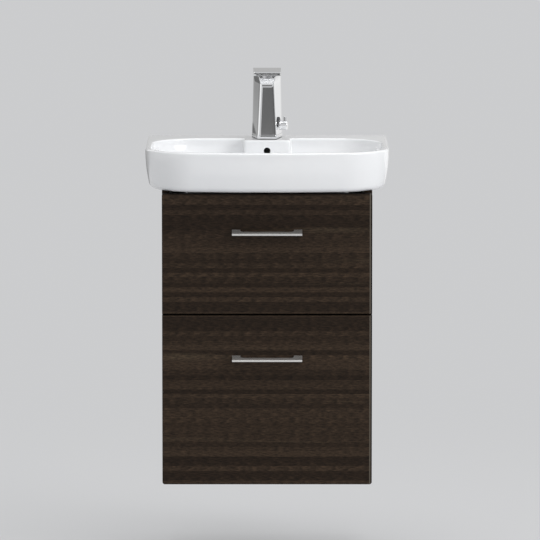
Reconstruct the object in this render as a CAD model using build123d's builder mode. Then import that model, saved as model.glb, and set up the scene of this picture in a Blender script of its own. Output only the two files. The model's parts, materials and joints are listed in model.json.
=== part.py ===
from build123d import *
import os
from math import asin, atan2, cos, radians, sin, sqrt, tan

os.makedirs("parts", exist_ok=True)

# A wall-hung vanity unit: a ceramic basin with a touch-free tap, over a cabinet with two drawers.
# Sizes are in millimetres. X is to the viewer's right, Y into the wall and Z up.
# The origin lies on the wall, midway between the two holes that bolt the cabinet's rail to it.

# Basin
basin_width = 500.0
basin_depth = 390.0
apron_height = 82.0
apron_curve_radius = 300.0  # side view of the apron, which leans in towards its foot
apron_foot_radius = 11.0
front_bow_radius = 1150.0
front_corner_radius = 110.0
back_corner_radius = 4.0
rim_edge_radius = 4.5
bowl_rim_width = 12.0
bowl_back = 70.0  # from the wall to the bowl's back edge
bowl_depth = 118.0
bowl_back_corner_radius = 100.0
bowl_wall = 10.0
bowl_side_power = 2.0  # how full the bowl's sides are, as a superellipse
bowl_front_power = 1.6
bowl_levels = (0.0, 0.2, 0.4, 0.58, 0.73, 0.85, 0.93)  # shares of bowl_depth
shell_levels = (0.13, 0.3, 0.45, 0.6, 0.73, 0.85, 0.93)
deck_thickness = 14.0
basin_back_wall = 18.0
seat_width = 54.0  # flat underside of the apron that lies on the cabinet
seat_front = 72.0
seat_thickness = 12.0
apron_wall = 24.0
apron_steps = 4
edge_shares = (0.0, 0.1, 0.35, 0.7, 1.0)  # how far down each rounded edge its outlines lie
ledge_width = 97.0
ledge_front = 113.0  # from the wall to the ledge's front face
ledge_corner_radius = 8.0
ledge_wall = 12.0
ledge_edge_radius = 3.0
ledge_room_depth = 69.0
overflow_radius = 7.0
overflow_drop = 22.0  # below the rim
duct_width = 22.0
duct_gap = 7.0
duct_wall = 7.0
duct_drop = 73.0  # from the rim to where the duct turns forward
duct_slope_run = 28.0
duct_rise = 21.0
duct_end_fall = 9.0
tap_hole_radius = 17.5
basin_bolt_spacing = 280.0
basin_bolt_hole_radius = 7.0
basin_bolt_drop = 57.0  # below the rim

# Waste
drain_back = 205.0  # from the wall to the drain's centre
drain_hole_radius = 23.0
drain_horn_radius = 35.0
drain_horn_height = 29.0  # from the bowl's floor to the underside of the horn
waste_recess = 2.0
waste_recess_clearance = 0.5
waste_flange_radius = 32.0
waste_flange_thickness = 3.0
waste_tube_radius = 20.9
waste_bore_radius = 18.0
waste_tube_length = 60.0
waste_slot_width = 12.0
waste_slot_height = 8.0
spider_width = 3.0
spider_height = 8.0
spider_drop = 24.0  # from the flange's seat to the top of the spider
guide_radius = 7.0
plug_radius = 26.0
plug_thickness = 3.0
plug_edge_radius = 1.2
plug_stem_radius = 4.0
plug_stem_length = 40.0
plug_clearance = 0.05
plug_seal_thickness = 1.5
plug_seal_width = 3.0
plug_seal_inset = 1.0
waste_gasket_thickness = 3.0
waste_gasket_radius = 33.0
waste_nut_radius = 31.0
waste_nut_height = 8.0
thread_clearance = 0.15

# Trap
pipe_radius = 16.0
pipe_wall = 2.0
socket_wall = 3.0
socket_clearance = 0.3
socket_depth = 20.0
pipe_bend_radius = 24.0
trap_pipe_drop = 76.0  # from the bolt line down to the level pipe
trap_back = 56.0  # from the wall to the bottle's centre
bottle_radius = 27.0
bottle_wall = 2.5
bottle_height = 66.0
bottle_neck_height = 12.0
bottle_neck_drop = 112.0  # from the bolt line down to the neck's top
dip_length = 48.0  # of the pipe inside the bottle
cup_height = 26.0
cup_wall = 3.0
cup_overlap = 12.0
outlet_drop = 146.0  # from the bolt line down to the outlet pipe
outlet_socket_end = 14.0  # from the wall
union_nut_wall = 4.0
union_nut_grip = 12.0
union_collar = 2.0
pipe_nut_wall = 3.5
pipe_nut_grip = 8.0
pipe_nut_lip = 4.0
rosette_radius = 32.0
rosette_thickness = 3.0
outlet_in_wall = 40.0
outlet_step = 2.0  # behind the wall's face, where the pipe narrows to its spigot
spigot_radius = 15.6

# Tap
tap_back = 30.0  # from the wall to the back of the tap
tap_depth = 60.0
tap_hole_back = 60.0  # from the wall to the tap hole's centre
tap_gasket_thickness = 1.0
foot_height = 8.0
foot_margin = 0.8
column_half_back = 31.7  # half widths at the foot and under the head
column_half_front = 19.2
column_top_half_back = 29.5
column_top_half_front = 14.0
column_top_front = 86.0  # from the wall
column_top_height = 115.0  # above the rim
head_half_width = 29.25
head_front_half = 28.0
head_height = 137.0  # to the underside of the spout's tip
head_steps = 8
neck_flare_power = 1.5  # how late the neck widens on its way up to the head
spout_reach = 140.0  # from the wall to the spout's tip
lip_thickness = 3.9
lid_gap = 1.6
lid_inset = 3.0
lid_thickness = 2.5
lid_corner_radius = 3.0
column_bore_radius = 13.0
column_bore_top = 100.0
riser_radius = 4.0
channel_radius = 3.0
channel_height = 136.2
aerator_radius = 11.0
aerator_low = 130.5
aerator_high = 138.0
aerator_wall = 2.5
aerator_core = 3.0
aerator_from_tip = 21.0
fit_clearance = 0.05
window_radius = 4.0
window_low = 129.5
window_high = 131.5
window_from_tip = 42.0
control_height = 34.0  # of the control's axis above the rim
control_from_back = 34.0
control_recess_radius = 11.6
control_recess = 2.2
control_seal_thickness = 0.7
control_gap = 0.3
control_disc_radius = 10.8
control_disc_out = 2.0
barrel_radius = 9.3
barrel_drop = 7.0
barrel_end = 19.4
barrel_edge_radius = 0.8
pin_radius = 3.6
pin_place = 15.0  # from the tap's side face, along the control's axis
pin_top = 12.5  # above the control's axis
pin_seat = 4.0
spindle_radius = 4.0
spindle_clearance = 0.05
spindle_reach = 16.0
spindle_in_barrel = 8.0
cartridge_clearance = 0.3
cartridge_height = 76.0
shank_radius = 15.5
shank_bore_radius = 12.0
shank_length = 54.0
shank_nut_radius = 22.0
shank_nut_height = 7.0
shank_washer_radius = 24.0
shank_washer_thickness = 3.0
inlet_radius = 5.0
inlet_bore_radius = 3.5
inlet_spacing = 11.6
inlet_below_shank = 34.0

# Cabinet
cabinet_width = 430.0
cabinet_height = 605.0
cabinet_depth = 350.0
bolt_line_drop = 43.0  # from the cabinet's top down to its wall bolts
board = 16.0
rail_height = 80.0
wall_bolt_spacing = 280.0
wall_bolt_hole_radius = 4.5
front_thickness = 18.0
front_edge_radius = 2.5
front_corner_radius_seen = 5.0
buffer_thickness = 2.0
buffer_radius = 4.0
buffer_from_end = 15.0
front_gap = 4.0
upper_front_height = 247.0
front_rail_height = 50.0
front_rail_drop = 14.0  # from the cabinet's top, which leaves room for the bowl
middle_rail_depth = 60.0
dowel_radius = 4.0
dowel_length = 30.0
dowel_in_side = 11.0
dowel_clearance = 0.1
dowel_end_clearance = 0.5
dowel_from_edge = 15.0

# Drawers and their runners
box_board = 12.0
box_bottom_thickness = 8.0
box_groove = 5.0
box_bottom_lift = 10.0
box_depth = 235.0
box_under_pipe = 15.0  # from the trap's level pipe down to the upper drawer's box
lower_box_height = 180.0
box_floor_clearance = 5.0
runner_width = 13.0
runner_height = 45.0
runner_length = 250.0
sliding_length = 222.0
runner_steel = 1.5
runner_play = 0.3
runner_setback = 6.0
runner_lift = 12.0
outer_lip = 10.0
middle_lip = 7.4
inner_lip = 7.0

# Handles
handle_width = 143.5
handle_spacing = 128.0
handle_reach = 27.0
handle_bar_depth = 13.0
handle_face_height = 4.0
handle_root_height = 9.8
handle_foot_width = 17.0
handle_inner_radius = 8.0
handle_edge_radius = 0.6
upper_handle_drop = 83.8  # from the front's top edge to the underside of the handle
lower_handle_drop = 92.3
handle_screw_radius = 2.0
handle_screw_height = 4.5  # above the underside of the handle
handle_screw_depth = 9.0
handle_screw_clearance = 0.1
handle_screw_head_radius = 4.0
handle_screw_head_height = 2.4

# Places that follow from the sizes above
cabinet_top = bolt_line_drop
cabinet_bottom = cabinet_top - cabinet_height
rim = cabinet_top + apron_height
inner_half = cabinet_width / 2 - board
side_depth = cabinet_depth - front_thickness - buffer_thickness
front_back = cabinet_depth - front_thickness
bowl_floor = rim - bowl_depth * bowl_levels[-1]
horn_foot = bowl_floor - drain_horn_height
upper_front_top = cabinet_top - front_gap
upper_front_bottom = upper_front_top - upper_front_height
lower_front_top = upper_front_bottom - front_gap
middle_rail_top = (upper_front_bottom + lower_front_top + board) / 2


def keep(block, name):
    """Label a finished piece and write it to its file."""
    block.part.label = name
    export_step(block.part, "parts/" + name + ".step")


def board_between(low, high):
    """A plain board from its lowest corner to its highest one."""
    middle = tuple((a + b) / 2 for a, b in zip(low, high))
    with BuildPart() as plank:
        with Locations(middle):
            Box(*[b - a for a, b in zip(low, high)])
    return plank.part


def upright_tube(centre, low, high, outer, inner=0):
    """A tube, or a rod where it has no bore, that stands at a centre seen from above."""
    with BuildPart() as tube:
        with BuildSketch(Plane.XY.offset(low)):
            with Locations(centre):
                Circle(outer)
                if inner:
                    Circle(inner, mode=Mode.SUBTRACT)
        extrude(amount=high - low)
    return tube.part


def level_tube(centre, near, far, outer, inner=0):
    """A tube or rod towards the wall, with its ends at two distances from the wall."""
    with BuildPart() as tube:
        with BuildSketch(Plane.XZ.offset(near)):
            with Locations(centre):
                Circle(outer)
                if inner:
                    Circle(inner, mode=Mode.SUBTRACT)
        extrude(amount=far - near)
    return tube.part


def bent_tube(plane, axis, outer, inner):
    """A quarter bend of pipe that starts on a plane and turns about an axis."""
    with BuildPart() as bend:
        with BuildSketch(plane):
            Circle(outer)
            Circle(inner, mode=Mode.SUBTRACT)
        revolve(axis=axis, revolution_arc=90)
    return bend.part


def d_outline(half_width, front, corner_radius, bow_radius, back, back_radius):
    """A closed outline with straight back and sides, round corners and a gently bowed front."""
    bow_centre = front + bow_radius
    reach = bow_radius - corner_radius
    corner_y = bow_centre - sqrt(reach**2 - (half_width - corner_radius) ** 2)
    lean = asin((half_width - corner_radius) / reach)
    meet_x = bow_radius * sin(lean)
    meet_y = bow_centre - bow_radius * cos(lean)
    with BuildSketch() as outline:
        with BuildLine():
            Line((half_width, back - back_radius), (half_width, corner_y))
            TangentArc((half_width, corner_y), (meet_x, meet_y), tangent=(0, -1))
            ThreePointArc((meet_x, meet_y), (0, front), (-meet_x, meet_y))
            TangentArc((-half_width, corner_y), (-meet_x, meet_y), tangent=(0, -1))
            Line((-half_width, corner_y), (-half_width, back - back_radius))
            TangentArc(
                (-half_width, back - back_radius), (-half_width + back_radius, back), tangent=(0, 1)
            )
            Line((-half_width + back_radius, back), (half_width - back_radius, back))
            TangentArc(
                (half_width, back - back_radius), (half_width - back_radius, back), tangent=(0, 1)
            )
        make_face()
    return outline.sketch


def basin_outline(inset):
    """The basin's outline seen from above, set in from its sides and front."""
    return d_outline(
        basin_width / 2 - inset,
        -(basin_depth - inset),
        front_corner_radius - inset,
        front_bow_radius - inset,
        0,
        back_corner_radius,
    )


def bowl_outline(level, wall):
    """The bowl's outline at a share of its depth, grown outwards by a wall."""
    half_width = basin_width / 2 - bowl_rim_width
    half_depth = (basin_depth - bowl_rim_width - bowl_back) / 2
    middle = -(bowl_back + half_depth) * (1 - level) - drain_back * level
    width_share = (1 - level**bowl_side_power) ** (1 / bowl_side_power)
    depth_share = (1 - level**bowl_front_power) ** (1 / bowl_front_power)
    return d_outline(
        half_width * width_share + wall,
        middle - half_depth * depth_share - wall,
        (front_corner_radius - bowl_rim_width) * depth_share + wall,
        (front_bow_radius - bowl_rim_width) * width_share + wall,
        middle + half_depth * depth_share + wall,
        bowl_back_corner_radius * depth_share + wall,
    )


def round_inset(radius, drop):
    """How far a rounded edge stands in at a height inside it, measured from the flat face."""
    return radius - sqrt(radius**2 - (radius - drop) ** 2)


# The basin: an apron block, hollow underneath, with a bowl let into it
with BuildPart() as bowl_space:
    for level in bowl_levels:
        with BuildSketch(Plane.XY.offset(rim - bowl_depth * level)):
            add(bowl_outline(level, 0))
    loft()

with BuildPart() as bowl_shell:
    for level in shell_levels:
        with BuildSketch(Plane.XY.offset(rim - (bowl_depth + bowl_wall) * level)):
            add(bowl_outline(level, bowl_wall))
    loft()

with BuildPart() as ledge:
    with BuildSketch(Plane.XY.offset(cabinet_top)) as ledge_plan:
        with Locations((0, -ledge_front / 2)):
            Rectangle(ledge_width, ledge_front)
        fillet(ledge_plan.vertices().group_by(Axis.Y)[0], ledge_corner_radius)
    extrude(amount=apron_height)
    fillet(ledge.faces().sort_by(Axis.Z)[-1].edges().sort_by(Axis.Y)[:-1], ledge_edge_radius)

# The overflow duct runs down behind the bowl's back wall and turns forward into the drain's horn.
duct_y = -(ledge_front - ledge_wall - duct_gap / 2)
horn_edge = -(drain_back - drain_horn_radius)
hole_edge = -(drain_back - drain_hole_radius)
duct_elbow = (horn_edge + duct_slope_run, horn_foot + duct_rise)
duct_body_route = (
    (duct_y, rim - deck_thickness + duct_wall),
    (duct_y, rim - duct_drop),
    duct_elbow,
    (horn_edge - duct_wall / 2, horn_foot + duct_rise - duct_end_fall),
)
duct_space_route = (
    (duct_y, rim - deck_thickness),
    (duct_y, rim - duct_drop),
    duct_elbow,
    (hole_edge - duct_gap, horn_foot + duct_rise - duct_end_fall),
)

with BuildPart() as duct_body:
    with BuildSketch(Plane.YZ):
        with BuildLine():
            Polyline(*duct_body_route)
        trace(line_width=duct_gap + 2 * duct_wall)
    extrude(amount=duct_width / 2 + duct_wall, both=True)

with BuildPart() as duct_space:
    with BuildSketch(Plane.YZ):
        with BuildLine():
            Polyline(*duct_space_route)
        trace(line_width=duct_gap)
    extrude(amount=duct_width / 2, both=True)

with BuildPart() as basin:
    # The rounded rim, the apron that leans in towards its foot, and the rounded foot
    rim_drops = [rim_edge_radius * share for share in edge_shares]
    for drop in rim_drops:
        with BuildSketch(Plane.XY.offset(rim - drop)):
            add(basin_outline(round_inset(rim_edge_radius, drop)))
    loft()
    lean_start = rim_edge_radius
    lean_end = apron_height - apron_foot_radius
    for step in range(apron_steps + 1):
        drop = lean_start + (lean_end - lean_start) * step / apron_steps
        with BuildSketch(Plane.XY.offset(rim - drop)):
            add(basin_outline((drop - lean_start) ** 2 / (2 * apron_curve_radius)))
    loft()
    for share in reversed(edge_shares):
        drop = apron_height - apron_foot_radius * share
        lean = (drop - lean_start) ** 2 / (2 * apron_curve_radius)
        with BuildSketch(Plane.XY.offset(rim - drop)):
            add(basin_outline(lean + round_inset(apron_foot_radius, apron_foot_radius * share)))
    loft()
    # The hollow underneath leaves a flat seat round the sides and front, and a back wall.
    for inset, front_inset, low, high in (
        (seat_width, seat_front, cabinet_top, cabinet_top + seat_thickness),
        (apron_wall, apron_wall, cabinet_top + seat_thickness, rim - deck_thickness),
    ):
        with BuildSketch(Plane.XY.offset(low)):
            add(
                d_outline(
                    basin_width / 2 - inset,
                    -(basin_depth - front_inset),
                    front_corner_radius - inset,
                    front_bow_radius,
                    -basin_back_wall,
                    back_corner_radius,
                )
            )
        extrude(amount=high - low, mode=Mode.SUBTRACT)
    add(bowl_shell.part)
    with Locations((0, -drain_back, (bowl_floor + horn_foot) / 2)):
        Cylinder(drain_horn_radius, drain_horn_height)
    add(duct_body.part)
    add(bowl_space.part, mode=Mode.SUBTRACT)
    add(ledge.part)
    # Room for the tap's nut inside the ledge
    with BuildSketch(Plane.XY.offset(cabinet_top)):
        with Locations((0, -(basin_back_wall + ledge_room_depth / 2))):
            RectangleRounded(ledge_width - 2 * ledge_wall, ledge_room_depth, ledge_corner_radius / 2)
    extrude(amount=apron_height - deck_thickness, mode=Mode.SUBTRACT)
    add(duct_space.part, mode=Mode.SUBTRACT)
    # The overflow hole, the tap hole, the drain with its recess and the two wall bolt holes
    with BuildSketch(Plane.XZ.offset(ledge_front)):
        with Locations((0, rim - overflow_drop)):
            Circle(overflow_radius)
    extrude(amount=-(ledge_wall + duct_gap / 2), mode=Mode.SUBTRACT)
    with Locations((0, -tap_hole_back, rim)):
        Hole(tap_hole_radius, deck_thickness + 1)
    with Locations((0, -drain_back, bowl_floor)):
        CounterBoreHole(
            drain_hole_radius, waste_flange_radius + waste_recess_clearance, waste_recess, drain_horn_height
        )
    with BuildSketch(Plane.XZ):
        with Locations((0, rim - basin_bolt_drop)):
            with GridLocations(basin_bolt_spacing, 1, 2, 1):
                Circle(basin_bolt_hole_radius)
    extrude(amount=basin_back_wall + bowl_wall / 2, mode=Mode.SUBTRACT)

keep(basin, "basin")

# The waste: a flanged tube, clamped in the drain by a gasket and a nut, and a plug that lifts
drain = (0, -drain_back)
waste_seat = bowl_floor - waste_recess
waste_foot = waste_seat - waste_tube_length
flange_top = waste_seat + waste_flange_thickness
spider_top = waste_seat - spider_drop

with BuildPart() as waste_body:
    add(upright_tube(drain, waste_seat, flange_top, waste_flange_radius, waste_bore_radius))
    add(upright_tube(drain, waste_foot, waste_seat, waste_tube_radius, waste_bore_radius))
    with BuildSketch(Plane.XY.offset(spider_top)):
        with Locations(drain):
            Rectangle(2 * waste_bore_radius + spider_width, spider_width)
            Rectangle(spider_width, 2 * waste_bore_radius + spider_width)
            Circle(guide_radius)
    extrude(amount=-spider_height)
    add(
        upright_tube(drain, spider_top - spider_height, spider_top, plug_stem_radius + plug_clearance),
        mode=Mode.SUBTRACT,
    )
    # Two slots let the overflow's water in
    with Locations((0, -drain_back, duct_space_route[-1][1])):
        Box(waste_slot_width, 2 * waste_tube_radius + 1, waste_slot_height, mode=Mode.SUBTRACT)
keep(waste_body, "waste_body")

with BuildPart() as plug_seal:
    seal_radius = plug_radius - plug_seal_inset
    seal_top = flange_top + plug_seal_thickness
    add(upright_tube(drain, flange_top, seal_top, seal_radius, seal_radius - plug_seal_width))
keep(plug_seal, "plug_seal")

with BuildPart() as plug:
    plug_low = flange_top + plug_seal_thickness
    add(upright_tube(drain, plug_low, plug_low + plug_thickness, plug_radius))
    fillet(plug.faces().sort_by(Axis.Z)[-1].edges(), plug_edge_radius)
    add(upright_tube(drain, plug_low - plug_stem_length, plug_low, plug_stem_radius))
keep(plug, "plug")

with BuildPart() as waste_gasket:
    gasket_bore = waste_tube_radius + thread_clearance
    gasket_low = horn_foot - waste_gasket_thickness
    add(upright_tube(drain, gasket_low, horn_foot, waste_gasket_radius, gasket_bore))
keep(waste_gasket, "waste_gasket")

with BuildPart() as waste_nut:
    with BuildSketch(Plane.XY.offset(gasket_low)):
        with Locations(drain):
            RegularPolygon(waste_nut_radius, 6)
            Circle(waste_tube_radius + thread_clearance, mode=Mode.SUBTRACT)
    extrude(amount=-waste_nut_height)
keep(waste_nut, "waste_nut")

# The trap: an elbow under the waste, a level pipe to a bottle close to the wall, and its outlet
pipe_level = -trap_pipe_drop
pipe_bore = pipe_radius - pipe_wall
socket_bore = pipe_radius + socket_clearance
socket_radius = socket_bore + socket_wall
collar_radius = waste_tube_radius
bend_start = pipe_level + pipe_bend_radius
elbow_end = drain_back - pipe_bend_radius

with BuildPart() as trap_elbow:
    add(upright_tube(drain, waste_foot - union_collar, waste_foot, collar_radius, pipe_bore))
    add(upright_tube(drain, bend_start, waste_foot - union_collar, pipe_radius, pipe_bore))
    add(
        bent_tube(
            Plane((0, -drain_back, bend_start)),
            Axis((0, -elbow_end, bend_start), (1, 0, 0)),
            pipe_radius,
            pipe_bore,
        )
    )
    socket_end = elbow_end - socket_depth - pipe_wall
    add(level_tube((0, pipe_level), elbow_end - pipe_wall, elbow_end, socket_radius, pipe_bore))
    add(level_tube((0, pipe_level), socket_end, elbow_end - pipe_wall, socket_radius, socket_bore))
keep(trap_elbow, "trap_elbow")

with BuildPart() as union_nut:
    nut_bore = waste_tube_radius + thread_clearance
    nut_radius = nut_bore + union_nut_wall
    collar_foot = waste_foot - union_collar
    add(upright_tube(drain, collar_foot, waste_foot + union_nut_grip, nut_radius, nut_bore))
    add(upright_tube(drain, collar_foot - union_collar, collar_foot, nut_radius, socket_bore))
keep(union_nut, "trap_union_nut")


def pipe_nut(route_end, grip, lip):
    """The two lengths of a slip nut: its grip on a socket and the lip that closes on the pipe."""
    return (
        (route_end, route_end + grip, socket_radius + thread_clearance),
        (route_end - lip, route_end, socket_bore),
    )


nut_outer = socket_radius + thread_clearance + pipe_nut_wall
with BuildPart() as elbow_nut:
    for near, far, bore in pipe_nut(socket_end, pipe_nut_grip, pipe_nut_lip):
        add(level_tube((0, pipe_level), near, far, nut_outer, bore))
keep(elbow_nut, "trap_elbow_nut")

bottle = (0, -trap_back)
neck_top = -bottle_neck_drop
shoulder = neck_top - bottle_neck_height
bottle_foot = shoulder - bottle_height
pipe_turn = trap_back + pipe_bend_radius
pipe_turn_end = pipe_level - pipe_bend_radius
with BuildPart() as trap_pipe:
    pipe_start = elbow_end - pipe_wall - socket_clearance
    add(level_tube((0, pipe_level), pipe_turn, pipe_start, pipe_radius, pipe_bore))
    add(
        bent_tube(
            Plane((0, -pipe_turn, pipe_level), x_dir=(1, 0, 0), z_dir=(0, 1, 0)),
            Axis((0, -pipe_turn, pipe_turn_end), (-1, 0, 0)),
            pipe_radius,
            pipe_bore,
        )
    )
    add(upright_tube(bottle, neck_top - dip_length, pipe_turn_end, pipe_radius, pipe_bore))
keep(trap_pipe, "trap_pipe")

with BuildPart() as trap_bottle:
    outlet_level = -outlet_drop
    bottle_side = trap_back - bottle_radius + bottle_wall
    add(upright_tube(bottle, bottle_foot, shoulder, bottle_radius))
    add(level_tube((0, outlet_level), outlet_socket_end, trap_back, socket_radius))
    add(upright_tube(bottle, shoulder, neck_top, socket_radius))
    add(
        upright_tube(bottle, bottle_foot, shoulder - bottle_wall, bottle_radius - bottle_wall),
        mode=Mode.SUBTRACT,
    )
    add(upright_tube(bottle, shoulder - bottle_wall, neck_top, socket_bore), mode=Mode.SUBTRACT)
    outlet_bore = level_tube((0, outlet_level), outlet_socket_end, trap_back, socket_bore)
    add(outlet_bore, mode=Mode.SUBTRACT)
keep(trap_bottle, "trap_bottle")

with BuildPart() as bottle_nut:
    for near, far, bore in pipe_nut(0, pipe_nut_grip, pipe_nut_lip):
        add(upright_tube(bottle, neck_top - far, neck_top - near, nut_outer, bore))
keep(bottle_nut, "trap_bottle_nut")

with BuildPart() as trap_cup:
    cup_bore = bottle_radius + thread_clearance
    cup_foot = bottle_foot + cup_overlap - cup_height
    add(upright_tube(bottle, cup_foot, bottle_foot + cup_overlap, cup_bore + cup_wall))
    chamfer(trap_cup.faces().sort_by(Axis.Z)[0].edges(), cup_wall / 2)
    add(
        upright_tube(bottle, bottle_foot, bottle_foot + cup_overlap, cup_bore),
        mode=Mode.SUBTRACT,
    )
    cup_inside = bottle_radius - bottle_wall
    add(upright_tube(bottle, cup_foot + cup_wall, bottle_foot, cup_inside), mode=Mode.SUBTRACT)
keep(trap_cup, "trap_cup")

with BuildPart() as outlet_nut:
    for near, far, bore in pipe_nut(outlet_socket_end, pipe_nut_grip, pipe_nut_lip):
        add(level_tube((0, outlet_level), near, far, nut_outer, bore))
keep(outlet_nut, "trap_outlet_nut")

with BuildPart() as outlet_pipe:
    add(level_tube((0, outlet_level), -outlet_step, bottle_side, pipe_radius, pipe_bore))
    add(level_tube((0, outlet_level), -outlet_in_wall, -outlet_step, spigot_radius, pipe_bore))
keep(outlet_pipe, "trap_outlet_pipe")

with BuildPart() as rosette:
    add(level_tube((0, outlet_level), 0, rosette_thickness, rosette_radius, socket_bore))
keep(rosette, "wall_rosette")


def tap_outline(height, half_back, half_front, front):
    """A level section of the tap: wide at its back and narrow at its front."""
    with BuildSketch(Plane.XY.offset(rim + height)) as section:
        with BuildLine():
            Polyline(
                (half_back, -tap_back),
                (half_front, -front),
                (-half_front, -front),
                (-half_back, -tap_back),
                close=True,
            )
        make_face()
    return section.sketch


# The tap: a tapered column with a head that sweeps forward into a thin spout, under a flat lid
tap_front = tap_back + tap_depth
column_foot = tap_gasket_thickness + foot_height
lip_top = head_height + lip_thickness
tap_hole = (0, -tap_hole_back)

# The control's axis stands square on the tap's right side face, which turns towards the front.
share_up = (control_height - column_foot) / (column_top_height - column_foot)
side_back_x = column_half_back + (column_top_half_back - column_half_back) * share_up
side_front_x = column_half_front + (column_top_half_front - column_half_front) * share_up
side_front_y = tap_front + (column_top_front - tap_front) * share_up
side_turn = atan2(side_back_x - side_front_x, side_front_y - tap_back)
control_plane = Plane(
    origin=(
        side_back_x - control_from_back * tan(side_turn),
        -(tap_back + control_from_back),
        rim + control_height,
    ),
    x_dir=(0, 0, 1),
    z_dir=(cos(side_turn), -sin(side_turn), 0),
)


def on_control(low, high, radius, drop=0, bore=0):
    """A disc or ring on the control's axis, between two distances from the tap's side face."""
    with BuildPart() as disc:
        with BuildSketch(control_plane.offset(low)):
            with Locations((-drop, 0)):
                Circle(radius)
                if bore:
                    Circle(bore, mode=Mode.SUBTRACT)
        extrude(amount=high - low)
    return disc.part


recess_floor = -control_recess + control_seal_thickness
disc_low = recess_floor + control_gap
spindle_hole = spindle_radius + spindle_clearance

with BuildPart() as tap_body:
    foot_back = column_half_back + foot_margin
    foot_front = column_half_front + foot_margin
    add(tap_outline(tap_gasket_thickness, foot_back, foot_front, tap_front + foot_margin))
    extrude(amount=foot_height)
    add(tap_outline(column_foot, column_half_back, column_half_front, tap_front))
    add(
        tap_outline(
            column_top_height, column_top_half_back, column_top_half_front, column_top_front
        )
    )
    loft(ruled=True)
    # The head sweeps forward in a hollow curve to the spout's thin tip
    for step in range(head_steps + 1):
        turn = radians(90 * step / head_steps)
        reach = spout_reach - (spout_reach - column_top_front) * cos(turn)
        height = column_top_height + (head_height - column_top_height) * sin(turn)
        flare = (1 - cos(turn)) ** neck_flare_power
        half_front = column_top_half_front + (head_front_half - column_top_half_front) * flare
        half_back = head_half_width - (head_half_width - column_top_half_back) * cos(turn)
        add(tap_outline(height, half_back, half_front, reach))
    loft(ruled=True)
    add(tap_outline(head_height, head_half_width, head_front_half, spout_reach))
    extrude(amount=lip_thickness)
    with BuildSketch(Plane.XY.offset(rim + lip_top)):
        add(tap_outline(0, head_half_width, head_front_half, spout_reach))
        offset(amount=-lid_inset)
    extrude(amount=lid_gap)
    # The bore up the column, the channel along the head and the seats of the pieces fitted to it
    add(
        upright_tube(tap_hole, rim, rim + column_foot, shank_radius + thread_clearance),
        mode=Mode.SUBTRACT,
    )
    add(
        upright_tube(tap_hole, rim + column_foot, rim + column_bore_top, column_bore_radius),
        mode=Mode.SUBTRACT,
    )
    add(
        upright_tube(tap_hole, rim + column_bore_top, rim + channel_height, riser_radius),
        mode=Mode.SUBTRACT,
    )
    aerator_place = (0, -(spout_reach - aerator_from_tip))
    window_place = (0, -(spout_reach - window_from_tip))
    add(
        level_tube((0, rim + channel_height), tap_hole_back, -aerator_place[1], channel_radius),
        mode=Mode.SUBTRACT,
    )
    add(
        upright_tube(
            aerator_place, rim + column_top_height, rim + aerator_high, aerator_radius + fit_clearance
        ),
        mode=Mode.SUBTRACT,
    )
    add(
        upright_tube(
            window_place, rim + column_top_height, rim + window_high, window_radius + fit_clearance
        ),
        mode=Mode.SUBTRACT,
    )
    add(on_control(-control_recess, control_recess, control_recess_radius), mode=Mode.SUBTRACT)
    add(on_control(-spindle_reach, 0, spindle_hole), mode=Mode.SUBTRACT)
keep(tap_body, "tap_body")

with BuildPart() as tap_lid:
    with BuildSketch(Plane.XY.offset(rim + lip_top + lid_gap)) as lid_plan:
        add(tap_outline(0, head_half_width, head_front_half, spout_reach))
        fillet(lid_plan.vertices(), lid_corner_radius)
    extrude(amount=lid_thickness)
keep(tap_lid, "tap_lid")

with BuildPart() as tap_aerator:
    low = rim + aerator_low
    high = rim + aerator_high
    add(upright_tube(aerator_place, low, high, aerator_radius, aerator_radius - aerator_wall))
    add(
        upright_tube(
            aerator_place,
            low + aerator_wall,
            high - aerator_wall,
            aerator_radius - aerator_wall,
            aerator_core,
        )
    )
keep(tap_aerator, "tap_aerator")

with BuildPart() as tap_window:
    add(upright_tube(window_place, rim + window_low, rim + window_high, window_radius))
keep(tap_window, "tap_sensor_window")

with BuildPart() as tap_gasket:
    with BuildSketch(Plane.XY.offset(rim)):
        add(tap_outline(-rim, column_half_back, column_half_front, tap_front))
        with Locations(tap_hole):
            Circle(tap_hole_radius, mode=Mode.SUBTRACT)
    extrude(amount=tap_gasket_thickness)
keep(tap_gasket, "tap_gasket")

shank_top = rim + column_foot
shank_foot = shank_top - shank_length
with BuildPart() as tap_shank:
    add(upright_tube(tap_hole, shank_foot, shank_top, shank_radius, shank_bore_radius))
keep(tap_shank, "tap_shank")

deck_under = rim - deck_thickness
with BuildPart() as tap_washer:
    washer_low = deck_under - shank_washer_thickness
    washer_bore = shank_radius + thread_clearance
    add(upright_tube(tap_hole, washer_low, deck_under, shank_washer_radius, washer_bore))
keep(tap_washer, "tap_washer")

with BuildPart() as tap_nut:
    with BuildSketch(Plane.XY.offset(washer_low)):
        with Locations(tap_hole):
            RegularPolygon(shank_nut_radius, 6)
            Circle(shank_radius + thread_clearance, mode=Mode.SUBTRACT)
    extrude(amount=-shank_nut_height)
keep(tap_nut, "tap_nut")

with BuildPart() as tap_cartridge:
    cartridge_high = shank_top + cartridge_height
    add(
        upright_tube(tap_hole, shank_top, cartridge_high, column_bore_radius - cartridge_clearance)
    )
    add(on_control(-spindle_reach - control_gap, 0, spindle_hole), mode=Mode.SUBTRACT)
keep(tap_cartridge, "tap_cartridge")

with BuildPart() as tap_inlets:
    for side in (-1, 1):
        place = (side * inlet_spacing / 2, -tap_hole_back)
        foot = shank_foot - inlet_below_shank
        add(upright_tube(place, foot, shank_top, inlet_radius, inlet_bore_radius))
keep(tap_inlets, "tap_inlets")

# The temperature control: a grip on a disc in the recess of the tap's side, with an upright pin
with BuildPart() as temp_seal:
    add(on_control(-control_recess, recess_floor, control_recess_radius, 0, spindle_hole))
keep(temp_seal, "temp_seal")

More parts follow.
